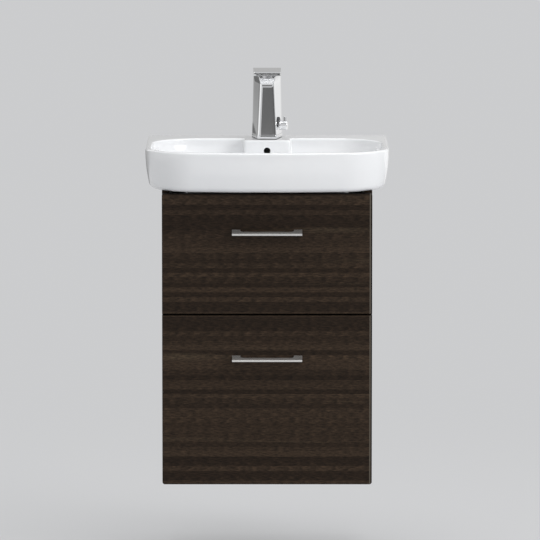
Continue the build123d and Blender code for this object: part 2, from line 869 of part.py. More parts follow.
with BuildPart() as temp_grip:
    add(on_control(disc_low, control_disc_out, control_disc_radius))
    add(on_control(control_disc_out, barrel_end, barrel_radius, barrel_drop))
    end_face = temp_grip.faces().sort_by(lambda f: f.center().X)[-1]
    fillet(end_face.edges(), barrel_edge_radius)
    add(on_control(disc_low, spindle_in_barrel, spindle_radius), mode=Mode.SUBTRACT)
    pin_plane = Plane(
        origin=control_plane.offset(pin_place).origin, x_dir=control_plane.z_dir, z_dir=(0, 0, 1)
    )
    with BuildSketch(pin_plane.offset(-pin_seat)):
        Circle(pin_radius)
    extrude(amount=2 * barrel_radius, mode=Mode.SUBTRACT)
keep(temp_grip, "temp_grip")

with BuildPart() as temp_pin:
    with BuildSketch(pin_plane.offset(-pin_seat)):
        Circle(pin_radius)
    extrude(amount=pin_seat + pin_top)
    fillet(temp_pin.faces().sort_by(Axis.Z)[-1].edges(), barrel_edge_radius)
keep(temp_pin, "temp_pin")

with BuildPart() as temp_spindle:
    add(on_control(-spindle_reach, spindle_in_barrel, spindle_radius))
keep(temp_spindle, "temp_spindle")

# The cabinet's boards, with blind dowels in their joints
rail_foot = cabinet_top - rail_height
floor_top = cabinet_bottom + board
lower_rail_top = floor_top + rail_height
front_rail_top = cabinet_top - front_rail_drop
front_rail_foot = front_rail_top - front_rail_height
rail_places = (
    (-board / 2, rail_foot + dowel_from_edge),
    (-board / 2, cabinet_top - dowel_from_edge),
    (-board / 2, floor_top + dowel_from_edge),
    (-board / 2, lower_rail_top - dowel_from_edge),
    (-(side_depth - board / 2), front_rail_foot + dowel_from_edge),
    (-(side_depth - board / 2), front_rail_top - dowel_from_edge),
    (-(side_depth - dowel_from_edge), middle_rail_top - board / 2),
    (-(side_depth - middle_rail_depth + dowel_from_edge), middle_rail_top - board / 2),
    (-(side_depth - dowel_from_edge), cabinet_bottom + board / 2),
    (-(board + dowel_from_edge), cabinet_bottom + board / 2),
)


def dowels(radius, spare):
    """Dowels, or the holes for them, in the joints between the sides and the boards between."""
    with BuildPart() as pegs:
        for side in (-1, 1):
            start = inner_half + dowel_in_side + spare
            with BuildSketch(Plane.YZ.offset(side * start)):
                with Locations(*rail_places):
                    Circle(radius)
            extrude(amount=-side * (dowel_length + 2 * spare))
    return pegs.part


dowel_holes = dowels(dowel_radius + dowel_clearance, dowel_end_clearance)
boards = {
    "side_left": ((-cabinet_width / 2, -side_depth, cabinet_bottom), (-inner_half, 0, cabinet_top)),
    "side_right": ((inner_half, -side_depth, cabinet_bottom), (cabinet_width / 2, 0, cabinet_top)),
    "bottom_panel": ((-inner_half, -side_depth, cabinet_bottom), (inner_half, 0, floor_top)),
    "hanging_rail": ((-inner_half, -board, rail_foot), (inner_half, 0, cabinet_top)),
    "lower_back_rail": ((-inner_half, -board, floor_top), (inner_half, 0, lower_rail_top)),
    "front_rail": (
        (-inner_half, -side_depth, front_rail_foot),
        (inner_half, -(side_depth - board), front_rail_top),
    ),
    "middle_rail": (
        (-inner_half, -side_depth, middle_rail_top - board),
        (inner_half, -(side_depth - middle_rail_depth), middle_rail_top),
    ),
}

for name, (low, high) in boards.items():
    with BuildPart() as panel:
        add(board_between(low, high))
        add(dowel_holes, mode=Mode.SUBTRACT)
        if name == "hanging_rail":
            with BuildSketch(Plane.XZ):
                with GridLocations(wall_bolt_spacing, 1, 2, 1):
                    Circle(wall_bolt_hole_radius)
            extrude(amount=board, mode=Mode.SUBTRACT)
    keep(panel, name)

with BuildPart() as carcass_dowels:
    add(dowels(dowel_radius, 0))
keep(carcass_dowels, "carcass_dowels")


def runner_channel(side, from_box, web_out, lip, half_height, level, near, length):
    """One C-shaped member of a runner, where from_box is how far its web lies from the drawer."""
    box_face = inner_half - runner_width
    web = (box_face + from_box, box_face + from_box + runner_steel)
    lip_end = web[0] - lip if web_out else web[1] + lip
    with BuildPart() as channel:
        with BuildSketch(Plane.XZ.offset(near)):
            for low_x, high_x, low_z, high_z in (
                (*web, -half_height, half_height),
                (min(web[0], lip_end), max(web[1], lip_end), half_height - runner_steel, half_height),
                (min(web[0], lip_end), max(web[1], lip_end), -half_height, runner_steel - half_height),
            ):
                with Locations((side * (low_x + high_x) / 2, level + (low_z + high_z) / 2)):
                    Rectangle(high_x - low_x, high_z - low_z)
        extrude(amount=-length)
    return channel.part


# The two drawers: a front with its handle and buffers, a box, and three-part runners
box_outer = inner_half - runner_width
box_inner = box_outer - box_board
upper_box_top = pipe_level - pipe_radius - box_under_pipe
lower_box_top = floor_top + box_floor_clearance + lower_box_height
drawers = (
    ("upper", upper_front_bottom, upper_front_top, middle_rail_top, upper_box_top, upper_handle_drop),
    ("lower", cabinet_bottom, lower_front_top, floor_top, lower_box_top, lower_handle_drop),
)

for prefix, front_low, front_high, rest, box_high, handle_drop in drawers:
    box_low = rest + box_floor_clearance
    box_back = front_back - box_depth
    bottom_low = box_low + box_bottom_lift
    bottom_high = bottom_low + box_bottom_thickness
    handle_foot = front_high - handle_drop
    screw_places = [
        (side * handle_spacing / 2, handle_foot + handle_screw_height) for side in (-1, 1)
    ]
    bottom_board = board_between(
        (-box_inner - box_groove, -front_back - box_groove, bottom_low),
        (box_inner + box_groove, -box_back - box_board + box_groove, bottom_high),
    )

    with BuildPart() as front:
        add(
            board_between(
                (-cabinet_width / 2, -cabinet_depth, front_low),
                (cabinet_width / 2, -front_back, front_high),
            )
        )
        outer_end = -1 if prefix == "upper" else 0
        corners = front.edges().filter_by(Axis.Y).group_by(Axis.Z)[outer_end]
        fillet(corners, front_corner_radius_seen)
        face_edges = front.faces().sort_by(Axis.Y)[0].edges()
        gap_edges = face_edges.filter_by(Axis.X).sort_by(Axis.Z)[-1 - outer_end]
        fillet(face_edges.filter_by(lambda e: e.center().Z != gap_edges.center().Z), front_edge_radius)
        add(bottom_board, mode=Mode.SUBTRACT)
        with BuildSketch(Plane.XZ.offset(front_back)):
            with Locations(*screw_places):
                Circle(handle_screw_radius + handle_screw_clearance)
        extrude(amount=front_thickness, mode=Mode.SUBTRACT)
    keep(front, prefix + "_front")

    for side_name, side in (("left", -1), ("right", 1)):
        with BuildPart() as box_side:
            inner, outer = sorted((side * box_inner, side * box_outer))
            add(board_between((inner, -front_back, box_low), (outer, -box_back, box_high)))
            add(bottom_board, mode=Mode.SUBTRACT)
        keep(box_side, prefix + "_box_" + side_name)

    with BuildPart() as box_rear:
        add(
            board_between(
                (-box_inner, -box_back - box_board, box_low), (box_inner, -box_back, box_high)
            )
        )
        add(bottom_board, mode=Mode.SUBTRACT)
    keep(box_rear, prefix + "_box_back")

    with BuildPart() as box_bottom:
        add(bottom_board)
    keep(box_bottom, prefix + "_box_bottom")

    with BuildPart() as handle:
        with BuildSketch(Plane.YZ.offset(-handle_width / 2)):
            with BuildLine():
                Polyline(
                    (-cabinet_depth, handle_foot),
                    (-cabinet_depth - handle_reach, handle_foot),
                    (-cabinet_depth - handle_reach, handle_foot + handle_face_height),
                    (-cabinet_depth, handle_foot + handle_root_height),
                    close=True,
                )
            make_face()
        extrude(amount=handle_width)
        slot_width = handle_width - 2 * handle_foot_width
        slot_depth = handle_reach - handle_bar_depth
        with BuildSketch(Plane.XY.offset(handle_foot)) as slot:
            with Locations((0, -cabinet_depth - slot_depth / 2)):
                Rectangle(slot_width, slot_depth)
            fillet(slot.vertices().group_by(Axis.Y)[0], handle_inner_radius)
        extrude(amount=handle_root_height, mode=Mode.SUBTRACT)
        front_face = handle.faces().sort_by(Axis.Y)[0]
        fillet(front_face.edges(), handle_edge_radius)
        with BuildSketch(Plane.XZ.offset(cabinet_depth)):
            with Locations(*screw_places):
                Circle(handle_screw_radius + handle_screw_clearance)
        extrude(amount=handle_screw_depth + handle_screw_clearance, mode=Mode.SUBTRACT)
    keep(handle, prefix + "_handle")

    with BuildPart() as handle_screws:
        screw_head = front_back - handle_screw_head_height
        for place in screw_places:
            add(level_tube(place, screw_head, front_back, handle_screw_head_radius))
            add(level_tube(place, front_back, cabinet_depth + handle_screw_depth, handle_screw_radius))
    keep(handle_screws, prefix + "_handle_screws")

    with BuildPart() as buffers:
        for x in (-1, 1):
            for level in (front_low + buffer_from_end, front_high - buffer_from_end):
                place = (x * (inner_half + board / 2), level)
                add(level_tube(place, side_depth, front_back, buffer_radius))
    keep(buffers, prefix + "_buffers")

    runner_level = box_low + runner_lift + runner_height / 2
    runner_front = side_depth - runner_setback
    outer_half = runner_height / 2
    middle_half = outer_half - runner_steel - runner_play
    inner_member_half = middle_half - runner_steel - runner_play
    outer_web = runner_width - runner_steel
    middle_web = outer_web - runner_steel - runner_play
    members = (
        ("fixed", outer_web, True, outer_lip, outer_half, runner_length),
        ("middle", middle_web, True, middle_lip, middle_half, sliding_length),
        ("inner", 0, False, inner_lip, inner_member_half, sliding_length),
    )
    for member, from_box, web_out, lip, half_height, length in members:
        with BuildPart() as runner_pair:
            for side in (-1, 1):
                add(
                    runner_channel(
                        side, from_box, web_out, lip, half_height, runner_level, runner_front, length
                    )
                )
        keep(runner_pair, prefix + "_runners_" + member)
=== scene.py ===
import json
import math

import bmesh
import bpy
from mathutils import Matrix, Vector
from mathutils.geometry import tessellate_polygon


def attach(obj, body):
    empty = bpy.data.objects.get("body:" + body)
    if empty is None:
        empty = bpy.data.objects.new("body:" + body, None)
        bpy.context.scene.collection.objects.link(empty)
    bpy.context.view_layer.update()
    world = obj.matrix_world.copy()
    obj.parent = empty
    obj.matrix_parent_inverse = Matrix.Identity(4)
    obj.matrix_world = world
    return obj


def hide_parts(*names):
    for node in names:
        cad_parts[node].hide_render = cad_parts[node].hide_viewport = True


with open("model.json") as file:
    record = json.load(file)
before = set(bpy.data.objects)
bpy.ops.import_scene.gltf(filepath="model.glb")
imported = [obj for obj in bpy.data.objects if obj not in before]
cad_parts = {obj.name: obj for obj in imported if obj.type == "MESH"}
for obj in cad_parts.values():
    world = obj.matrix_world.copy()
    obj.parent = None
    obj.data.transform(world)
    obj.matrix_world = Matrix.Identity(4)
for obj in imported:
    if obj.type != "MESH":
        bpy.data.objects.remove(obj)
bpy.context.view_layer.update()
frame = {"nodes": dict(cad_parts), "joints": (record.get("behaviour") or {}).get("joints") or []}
nodes = frame["nodes"]
print("frame loaded:", len(nodes), "nodes")


# A mesh object from points and faces, smooth up to an edge angle, riding on a body of the unit
def makePiece(name, points, faces, material, body, smoothAngle=35):
    mesh = bpy.data.meshes.new(name)
    mesh.from_pydata(points, [], faces)
    mesh.materials.append(material)
    mesh.validate()
    piece = bpy.data.objects.new(name, mesh)
    bpy.context.scene.collection.objects.link(piece)
    tidyNormals(mesh)
    shadeSmooth(mesh, smoothAngle)
    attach(piece, body)
    return piece


def tidyNormals(mesh):
    work = bmesh.new()
    work.from_mesh(mesh)
    bmesh.ops.remove_doubles(work, verts=work.verts, dist=2e-6)
    bmesh.ops.dissolve_degenerate(work, edges=work.edges, dist=1e-6)
    bmesh.ops.recalc_face_normals(work, faces=work.faces)
    work.to_mesh(mesh)
    work.free()


def shadeSmooth(mesh, angle):
    mesh.shade_smooth()
    mesh.set_sharp_from_angle(angle=math.radians(angle))


# Faces between neighbouring loops of points, each loop closed round
def bridgeLoops(loops, closed=False):
    count = len(loops[0])
    faces = []
    rows = len(loops) if closed else len(loops) - 1
    for row in range(rows):
        low = row * count
        high = ((row + 1) % len(loops)) * count
        for k in range(count):
            after = (k + 1) % count
            faces.append((low + k, low + after, high + after, high + k))
    return faces


# Materials: every one is made of nodes, and shares this start
def newMaterial(name, color, roughness, metallic=0.0):
    material = bpy.data.materials.new(name)
    material.use_nodes = True
    shader = material.node_tree.nodes["Principled BSDF"]
    shader.inputs["Base Color"].default_value = (*color, 1)
    shader.inputs["Roughness"].default_value = roughness
    shader.inputs["Metallic"].default_value = metallic
    return material, material.node_tree, shader


def addNode(tree, kind, **values):
    node = tree.nodes.new(kind)
    for key, value in values.items():
        if key in node.inputs:
            node.inputs[key].default_value = value
        else:
            setattr(node, key, value)
    return node


# Object coordinates, stretched along the grain
def placedCoordinates(tree, scale):
    where = addNode(tree, "ShaderNodeTexCoord")
    mapping = addNode(tree, "ShaderNodeMapping", Scale=scale)
    tree.links.new(where.outputs["Object"], mapping.inputs["Vector"])
    return mapping.outputs["Vector"]


def noiseOn(tree, vector, scale, detail=4.0, roughness=0.5, distortion=0.0):
    noise = addNode(
        tree, "ShaderNodeTexNoise", Scale=scale, Detail=detail, Roughness=roughness, Distortion=distortion
    )
    tree.links.new(vector, noise.inputs["Vector"])
    return noise.outputs["Fac"]


def rampOn(tree, factor, stops):
    ramp = addNode(tree, "ShaderNodeValToRGB")
    elements = ramp.color_ramp.elements
    elements[0].position, elements[1].position = stops[0][0], stops[-1][0]
    for position, _ in stops[1:-1]:
        elements.new(position)
    for element, (_, color) in zip(elements, stops):
        element.color = (*color, 1)
    tree.links.new(factor, ramp.inputs["Fac"])
    return ramp.outputs["Color"]


def bumpOn(tree, shader, height, strength, distance):
    bump = addNode(tree, "ShaderNodeBump", Strength=strength, Distance=distance)
    tree.links.new(height, bump.inputs["Height"])
    tree.links.new(bump.outputs["Normal"], shader.inputs["Normal"])


glazeLook = {
    "color": (0.79, 0.8, 0.815),
    "shade": (0.78, 0.79, 0.807),
    "light": (0.8, 0.808, 0.82),
    "roughness": 0.12,
    "coat": 0.5,
    "coatRoughness": 0.05,
    "ripple": 0.012,
}


def makeGlaze():
    look = glazeLook
    material, tree, shader = newMaterial("whiteGlaze", look["color"], look["roughness"])
    shader.inputs["Coat Weight"].default_value = look["coat"]
    shader.inputs["Coat Roughness"].default_value = look["coatRoughness"]
    vector = placedCoordinates(tree, (1, 1, 1))
    tint = rampOn(
        tree,
        noiseOn(tree, vector, 6, 3),
        [(0.3, look["shade"]), (0.7, look["light"])],
    )
    tree.links.new(tint, shader.inputs["Base Color"])
    bumpOn(tree, shader, noiseOn(tree, vector, 25, 2), look["ripple"], 0.01)
    return material


chromeLook = {"color": (0.88, 0.885, 0.89), "roughness": 0.035, "smear": 0.03}


def makeChrome(name, color=chromeLook["color"], roughness=chromeLook["roughness"], smear=chromeLook["smear"]):
    material, tree, shader = newMaterial(name, color, roughness, 1.0)
    vector = placedCoordinates(tree, (1, 1, 1))
    spread = addNode(tree, "ShaderNodeMapRange", **{"To Min": roughness, "To Max": roughness + smear})
    tree.links.new(noiseOn(tree, vector, 60, 4, 0.6), spread.inputs["Value"])
    tree.links.new(spread.outputs["Result"], shader.inputs["Roughness"])
    return material


woodLook = {
    "staveDark": (0.0185, 0.0112, 0.0067),
    "stavePale": (0.0385, 0.0245, 0.0152),
    "stavesPerMetre": 20,
    "staveWave": 0.004,
    "ringDark": 0.62,
    "ringPale": 1.35,
    "archLength": 0.034,
    "archBend": 2.6,
    "archWobble": 1.5,
    "figure": (0.06, 0.0425, 0.0262),
    # The next four paint light and shade on the fronts: a highlight by the right edge, shade beside it and on
    # the top and bottom edges
    "paintedHighlightReach": 0.008,
    "paintedHighlight": (0.1, 0.086, 0.068),
    "paintedShadeBeside": 0.2,
    "paintedEdgeShade": 0.3,
    "poreDark": 0.42,
    "porePale": 1.55,
    "specular": 0.12,
    "roughness": (0.4, 0.58),
    "poreDepth": 0.00035,
}


# Dark stained oak: staves of different shade laid one above another, growth rings that arch along
# some of them, a few pale figures, and short pores
def makeWood(name, grainAxis, shift=0.0):
    look = woodLook
    material, tree, shader = newMaterial(name, look["staveDark"], look["roughness"][0])
    shader.inputs["Specular IOR Level"].default_value = look["specular"]
    where = addNode(tree, "ShaderNodeTexCoord")
    # In here the grain runs along X and the staves lie one above another in Z
    turned = {"x": (0, 0, 0), "y": (0, 0, -math.pi / 2), "z": (0, math.pi / 2, 0)}[grainAxis]
    along = addNode(tree, "ShaderNodeMapping", Rotation=turned, Location=(shift, shift * 0.37, shift * 1.13))
    tree.links.new(where.outputs["Object"], along.inputs["Vector"])
    split = addNode(tree, "ShaderNodeSeparateXYZ")
    tree.links.new(along.outputs["Vector"], split.inputs["Vector"])

    def stretched(scale, move=(0, 0, 0)):
        mapping = addNode(tree, "ShaderNodeMapping", Scale=scale, Location=move)
        tree.links.new(along.outputs["Vector"], mapping.inputs["Vector"])
        return mapping.outputs["Vector"]

    def mixed(kind, factor, first, second):
        mix = addNode(tree, "ShaderNodeMix", data_type="RGBA", blend_type=kind)
        for socket, value in ((0, factor), (6, first), (7, second)):
            if isinstance(value, float):
                mix.inputs[socket].default_value = value
            else:
                tree.links.new(value, mix.inputs[socket])
        return mix.outputs[2]

    def reckon(operation, *values):
        node = addNode(tree, "ShaderNodeMath", operation=operation)
        for socket, value in zip(node.inputs, values):
            if isinstance(value, (int, float)):
                socket.default_value = value
            else:
                tree.links.new(value, socket)
        return node.outputs[0]

    # Each stave has chances of its own: shade, place along the grain, and how far its rings show
    wavy = noiseOn(tree, stretched((1.1, 2, 5)), 1.0, 2)
    height = reckon("ADD", split.outputs["Z"], reckon("MULTIPLY", wavy, look["staveWave"]))
    staves = addNode(tree, "ShaderNodeTexVoronoi", voronoi_dimensions="1D", Randomness=0.6)
    tree.links.new(reckon("MULTIPLY", height, look["stavesPerMetre"]), staves.inputs["W"])
    chance = addNode(tree, "ShaderNodeSeparateColor")
    tree.links.new(staves.outputs["Color"], chance.inputs["Color"])
    shade, place, strength = (chance.outputs[k] for k in range(3))
    base = rampOn(tree, shade, [(0.1, look["staveDark"]), (0.95, look["stavePale"])])
    cloudy = noiseOn(tree, stretched((2.0, 9, 26), (5, 0, 0)), 1.0, 4, 0.5, 0.6)
    clouds = rampOn(tree, cloudy, [(0.3, (0.9, 0.9, 0.9)), (0.7, (1.1, 1.09, 1.07))])
    base = mixed("MULTIPLY", 1.0, base, clouds)

    offset = reckon("SUBTRACT", reckon("MULTIPLY", height, look["stavesPerMetre"]), staves.outputs["W"])
    arch = reckon("MULTIPLY", reckon("MULTIPLY", offset, offset), look["archBend"] * 4)
    run = reckon("ADD", split.outputs["X"], place)
    wobble = noiseOn(tree, stretched((14, 20, 90), (2, 0, 0)), 1.0, 3, 0.55)
    wobble = reckon("MULTIPLY", wobble, look["archWobble"])
    ring = reckon("ADD", reckon("DIVIDE", run, look["archLength"]), reckon("ADD", arch, wobble))
    saw = reckon("FRACT", ring)
    pale, dark = (look["ringPale"],) * 3, (look["ringDark"],) * 3
    ringShade = rampOn(tree, saw, [(0.0, pale), (0.35, (1.0,) * 3), (0.85, dark), (1.0, (1.1,) * 3)])
    shows = rampOn(tree, strength, [(0.3, (0.08,) * 3), (0.75, (0.7,) * 3)])
    base = mixed("MULTIPLY", shows, base, ringShade)

    figure = noiseOn(tree, stretched((1.1, 8, 40), (9, 0, 2)), 1.0, 4, 0.5, 0.5)
    places = rampOn(tree, figure, [(0.62, (0, 0, 0)), (0.78, (0.9,) * 3)])
    paleFigure = addNode(tree, "ShaderNodeRGB")
    paleFigure.outputs[0].default_value = (*look["figure"], 1)
    base = mixed("MIX", places, base, paleFigure.outputs[0])
    pores = noiseOn(tree, stretched((90, 360, 420)), 1.0, 3, 0.62)
    pale, dark = (look["porePale"],) * 3, (look["poreDark"],) * 3
    poreShade = rampOn(tree, pores, [(0.34, dark), (0.5, (0.95,) * 3), (0.68, pale)])
    base = mixed("MULTIPLY", 0.9, base, poreShade)
    # Painted highlight: a pale line beside the fronts' right edge, where the light falls from the right
    if name == "frontOak":
        right = max(vertex.co.x for vertex in nodes["upper_front"].data.vertices)
        inward = addNode(
            tree, "ShaderNodeMapRange", **{"From Min": right - look["paintedHighlightReach"], "From Max": right}
        )
        tree.links.new(split.outputs["X"], inward.inputs["Value"])
        none, plain, dim = (0.0,) * 3, (1.0,) * 3, (look["paintedShadeBeside"],) * 3
        stops = [(0.3, none), (0.38, plain), (0.6, plain), (0.67, none)]
        highlightBand = rampOn(tree, inward.outputs["Result"], stops)
        paintedHighlight = addNode(tree, "ShaderNodeRGB")
        paintedHighlight.outputs[0].default_value = (*look["paintedHighlight"], 1)
        base = mixed("MIX", highlightBand, base, paintedHighlight.outputs[0])
        # Painted shade: a dark line beside that highlight, on the face only, and darker top and bottom edges
        facing = addNode(tree, "ShaderNodeNewGeometry")
        turnedTo = addNode(tree, "ShaderNodeSeparateXYZ")
        tree.links.new(facing.outputs["Normal"], turnedTo.inputs["Vector"])
        forward = rampOn(tree, reckon("ABSOLUTE", turnedTo.outputs["Y"]), [(0.3, none), (0.6, plain)])
        shadow = rampOn(tree, inward.outputs["Result"], [(0.67, plain), (0.73, dim)])
        base = mixed("MULTIPLY", forward, base, shadow)
        topBottomFacing = reckon("ABSOLUTE", turnedTo.outputs["Z"])
        edge = (look["paintedEdgeShade"],) * 3
        base = mixed("MULTIPLY", 1.0, base, rampOn(tree, topBottomFacing, [(0.4, plain), (0.75, edge)]))
    tree.links.new(base, shader.inputs["Base Color"])
    bumpOn(tree, shader, pores, 0.35, look["poreDepth"])
    gloss = addNode(
        tree, "ShaderNodeMapRange", **{"To Min": look["roughness"][0], "To Max": look["roughness"][1]}
    )
    tree.links.new(cloudy, gloss.inputs["Value"])
    tree.links.new(gloss.outputs["Result"], shader.inputs["Roughness"])
    return material


# Metal brushed along X
def makeBrushed(name, color, roughness, lines=(6, 900, 900), depth=0.00003, metallic=1.0):
    material, tree, shader = newMaterial(name, color, roughness, metallic)
    vector = placedCoordinates(tree, lines)
    hairs = noiseOn(tree, vector, 1.0, 3, 0.6)
    spread = addNode(tree, "ShaderNodeMapRange", **{"To Min": roughness - 0.07, "To Max": roughness + 0.1})
    tree.links.new(hairs, spread.inputs["Value"])
    tree.links.new(spread.outputs["Result"], shader.inputs["Roughness"])
    bumpOn(tree, shader, hairs, 0.3, depth)
    return material


# Moulded plastic or rubber with a fine grain
def makeMoulded(name, color, roughness, grain=900, depth=0.00004, specular=0.5):
    material, tree, shader = newMaterial(name, color, roughness)
    shader.inputs["Specular IOR Level"].default_value = specular
    vector = placedCoordinates(tree, (1, 1, 1))
    speckle = noiseOn(tree, vector, grain, 2, 0.5)
    shade = [tuple(c * share for c in color) for share in (0.94, 1.03)]
    tint = rampOn(tree, noiseOn(tree, vector, 9, 3), [(0.3, shade[0]), (0.7, shade[1])])
    tree.links.new(tint, shader.inputs["Base Color"])
    bumpOn(tree, shader, speckle, 0.25, depth)
    return material


# Melamine-faced board with a linen print
def makeBoard(name, color, roughness):
    material, tree, shader = newMaterial(name, color, roughness)
    across = noiseOn(tree, placedCoordinates(tree, (40, 900, 900)), 1.0, 2)
    along = noiseOn(tree, placedCoordinates(tree, (900, 40, 60)), 1.0, 2)
    both = addNode(tree, "ShaderNodeMath", operation="ADD")
    tree.links.new(across, both.inputs[0])
    tree.links.new(along, both.inputs[1])
    half = addNode(tree, "ShaderNodeMath", operation="MULTIPLY")
    half.inputs[1].default_value = 0.5
    tree.links.new(both.outputs[0], half.inputs[0])
    shade = [tuple(c * share for c in color) for share in (0.86, 1.08)]
    linen = rampOn(tree, half.outputs[0], [(0.38, shade[0]), (0.62, shade[1])])
    tree.links.new(linen, shader.inputs["Base Color"])
    bumpOn(tree, shader, half.outputs[0], 0.2, 0.0001)
    return material


whiteGlaze = makeGlaze()
polishedChrome = makeChrome("polishedChrome")
satinChrome = makeChrome("satinChrome", (0.5, 0.5, 0.51), 0.22, 0.06)
frontOak = makeWood("frontOak", "x")
sideOak = makeWood("sideOak", "y", 3.7)
railOak = makeWood("railOak", "x", 8.1)
handleSteel = makeBrushed("handleSteel", (0.68, 0.67, 0.655), 0.27, metallic=0.8)
runnerZinc = makeBrushed("runnerZinc", (0.66, 0.68, 0.7), 0.34, (900, 8, 900))
screwZinc = makeBrushed("screwZinc", (0.7, 0.7, 0.68), 0.32)
turnedBrass = makeBrushed("turnedBrass", (0.72, 0.52, 0.24), 0.28, (500, 500, 12))
trapPlastic = makeMoulded("trapPlastic", (0.78, 0.78, 0.76), 0.3)
washerPlastic = makeMoulded("washerPlastic", (0.03, 0.03, 0.032), 0.5)
cartridgePlastic = makeMoulded("cartridgePlastic", (0.6, 0.6, 0.58), 0.45)
sealRubber = makeMoulded("sealRubber", (0.012, 0.012, 0.012), 0.65)
windowPlastic = makeMoulded("windowPlastic", (0.006, 0.006, 0.008), 0.3, specular=0.2)
bufferPlastic = makeMoulded("bufferPlastic", (0.3, 0.3, 0.29), 0.5)
drawerBoard = makeBoard("drawerBoard", (0.23, 0.22, 0.21), 0.45)
beechPeg = makeWood("beechPeg", "x", 12.0)
print("materials ready")

# CAD nodes that keep their own shape take these finishes
nodeFinishes = {
    "tap_aerator": satinChrome,
    "tap_sensor_window": windowPlastic,
    "tap_gasket": sealRubber,
    "temp_seal": sealRubber,
    "plug_seal": sealRubber,
    "waste_gasket": sealRubber,
    "tap_shank": turnedBrass,
    "tap_nut": turnedBrass,
    "tap_inlets": turnedBrass,
    "temp_spindle": satinChrome,
    "waste_nut": turnedBrass,
    "tap_washer": washerPlastic,
    "tap_cartridge": cartridgePlastic,
    "waste_body": polishedChrome,
    "plug": polishedChrome,
    "wall_rosette": polishedChrome,
    "tap_lid": polishedChrome,
    "tap_body": polishedChrome,
    "temp_grip": polishedChrome,
    "temp_pin": polishedChrome,
    "side_left": sideOak,
    "side_right": sideOak,
    "bottom_panel": railOak,
    "hanging_rail": railOak,
    "lower_back_rail": railOak,
    "front_rail": railOak,
    "middle_rail": railOak,
    "carcass_dowels": beechPeg,
    "basin": whiteGlaze,
}


def finishFor(name):
    if name in nodeFinishes:
        return nodeFinishes[name]
    for ending, finish in (
        ("_front", frontOak),
        ("_handle", handleSteel),
        ("_handle_screws", screwZinc),
        ("_buffers", bufferPlastic),
    ):
        if name.endswith(ending):
            return finish
    if "_runners_" in name:
        return runnerZinc
    if "_box_" in name:
        return drawerBoard
    return trapPlastic


for name, node in nodes.items():
    finish = finishFor(name)
    node.data.materials.clear()
    node.data.materials.append(finish)
    shadeSmooth(node.data, 30)
print("CAD nodes finished")

# The basin: loops of points that all run round the same way, from under the rim to the drain
basinShape = {
    "rim": 0.125,
    "foot": 0.043,
    "halfWidth": 0.25,
    "depth": 0.39,
    "bow": 1.15,
    "cornerRadius": 0.11,
    "backRadius": 0.004,
    "rimRadius": 0.0045,
    "footRadius": 0.011,
    "leanRadius": 0.3,
    "bowlMargin": 0.012,
    "bowlBack": 0.07,
    "bowlBackRadius": 0.1,
    "bowlDepth": 0.118,
    "bowlEnd": 0.93,
    "sidePower": 2.0,
    "frontPower": 1.6,
    "lipRadius": 0.0035,
    "shellWall": 0.01,
    "ledgeHalf": 0.0485,
    "ledgeFront": 0.113,
    "ledgeRadius": 0.006,
    "roomHalf": 0.0365,
    "roomFront": 0.087,
    "drainBack": 0.205,
    "seatSide": 0.054,
    "seatFront": 0.072,
    "seatTop": 0.055,
    "wallSide": 0.024,
    "backWall": 0.018,
    "deckUnder": 0.111,
    "hornRadius": 0.035,
    "hornFoot": -0.01374,
    "drainRadius": 0.023,
    "recessRadius": 0.0325,
    "recessDepth": 0.002,
}


# Half a loop, from the middle of the back round to the middle of the front, with fixed counts
def halfLoop(halfWidth, front, corner, bow, back, backRadius, ledgeHalf, ledgeFront, ledgeRadius):
    out = max(back - ledgeFront, 0.0)
    radius = min(ledgeRadius, out / 2)
    points = []
    for k in range(6):
        points.append(((ledgeHalf - radius) * k / 6, back - out))
    for k in range(6):
        turn = math.pi / 2 * k / 5
        points.append(
            (ledgeHalf - radius + radius * math.sin(turn), back - out + radius - radius * math.cos(turn))
        )
    inner = min(0.004, out / 2)
    for k in range(1, 7):
        points.append((ledgeHalf, back - out + radius + (out - radius - inner) * k / 6))
    for k in range(1, 5):
        turn = math.pi / 2 * k / 4
        points.append((ledgeHalf + inner - inner * math.cos(turn), back - inner + inner * math.sin(turn)))
    start = ledgeHalf + inner
    for k in range(1, 10):
        points.append((start + (halfWidth - backRadius - start) * k / 10, back))
    for k in range(15):
        turn = math.pi / 2 * k / 14
        points.append(
            (
                halfWidth - backRadius + backRadius * math.sin(turn),
                back - backRadius + backRadius * math.cos(turn),
            )
        )
    reach = bow - corner
    centreX = halfWidth - corner
    bowCentre = front + bow
    centreY = bowCentre - math.sqrt(reach**2 - centreX**2)
    lean = math.asin(centreX / reach)
    for k in range(1, 9):
        points.append((halfWidth, back - backRadius + (centreY - back + backRadius) * k / 9))
    for k in range(21):
        turn = (math.pi / 2 - lean) * k / 20
        points.append((centreX + corner * math.cos(turn), centreY - corner * math.sin(turn)))
    meet = bow * math.sin(lean)
    for k in range(1, 19):
        x = meet * (1 - k / 18)
        points.append((x, bowCentre - math.sqrt(bow**2 - x**2)))
    return points


def fullLoop(half):
    mirrored = [(-x, y) for x, y in half[1:-1]]
    return half + mirrored[::-1]


def atHeight(loop, z):
    return [(x, y, z) for x, y in loop]


def outerLoop(inset):
    b = basinShape
    return fullLoop(
        halfLoop(
            b["halfWidth"] - inset,
            -(b["depth"] - inset),
            b["cornerRadius"] - inset,
            b["bow"] - inset,
            0,
            b["backRadius"],
            b["ledgeHalf"],
            0,
            0,
        )
    )


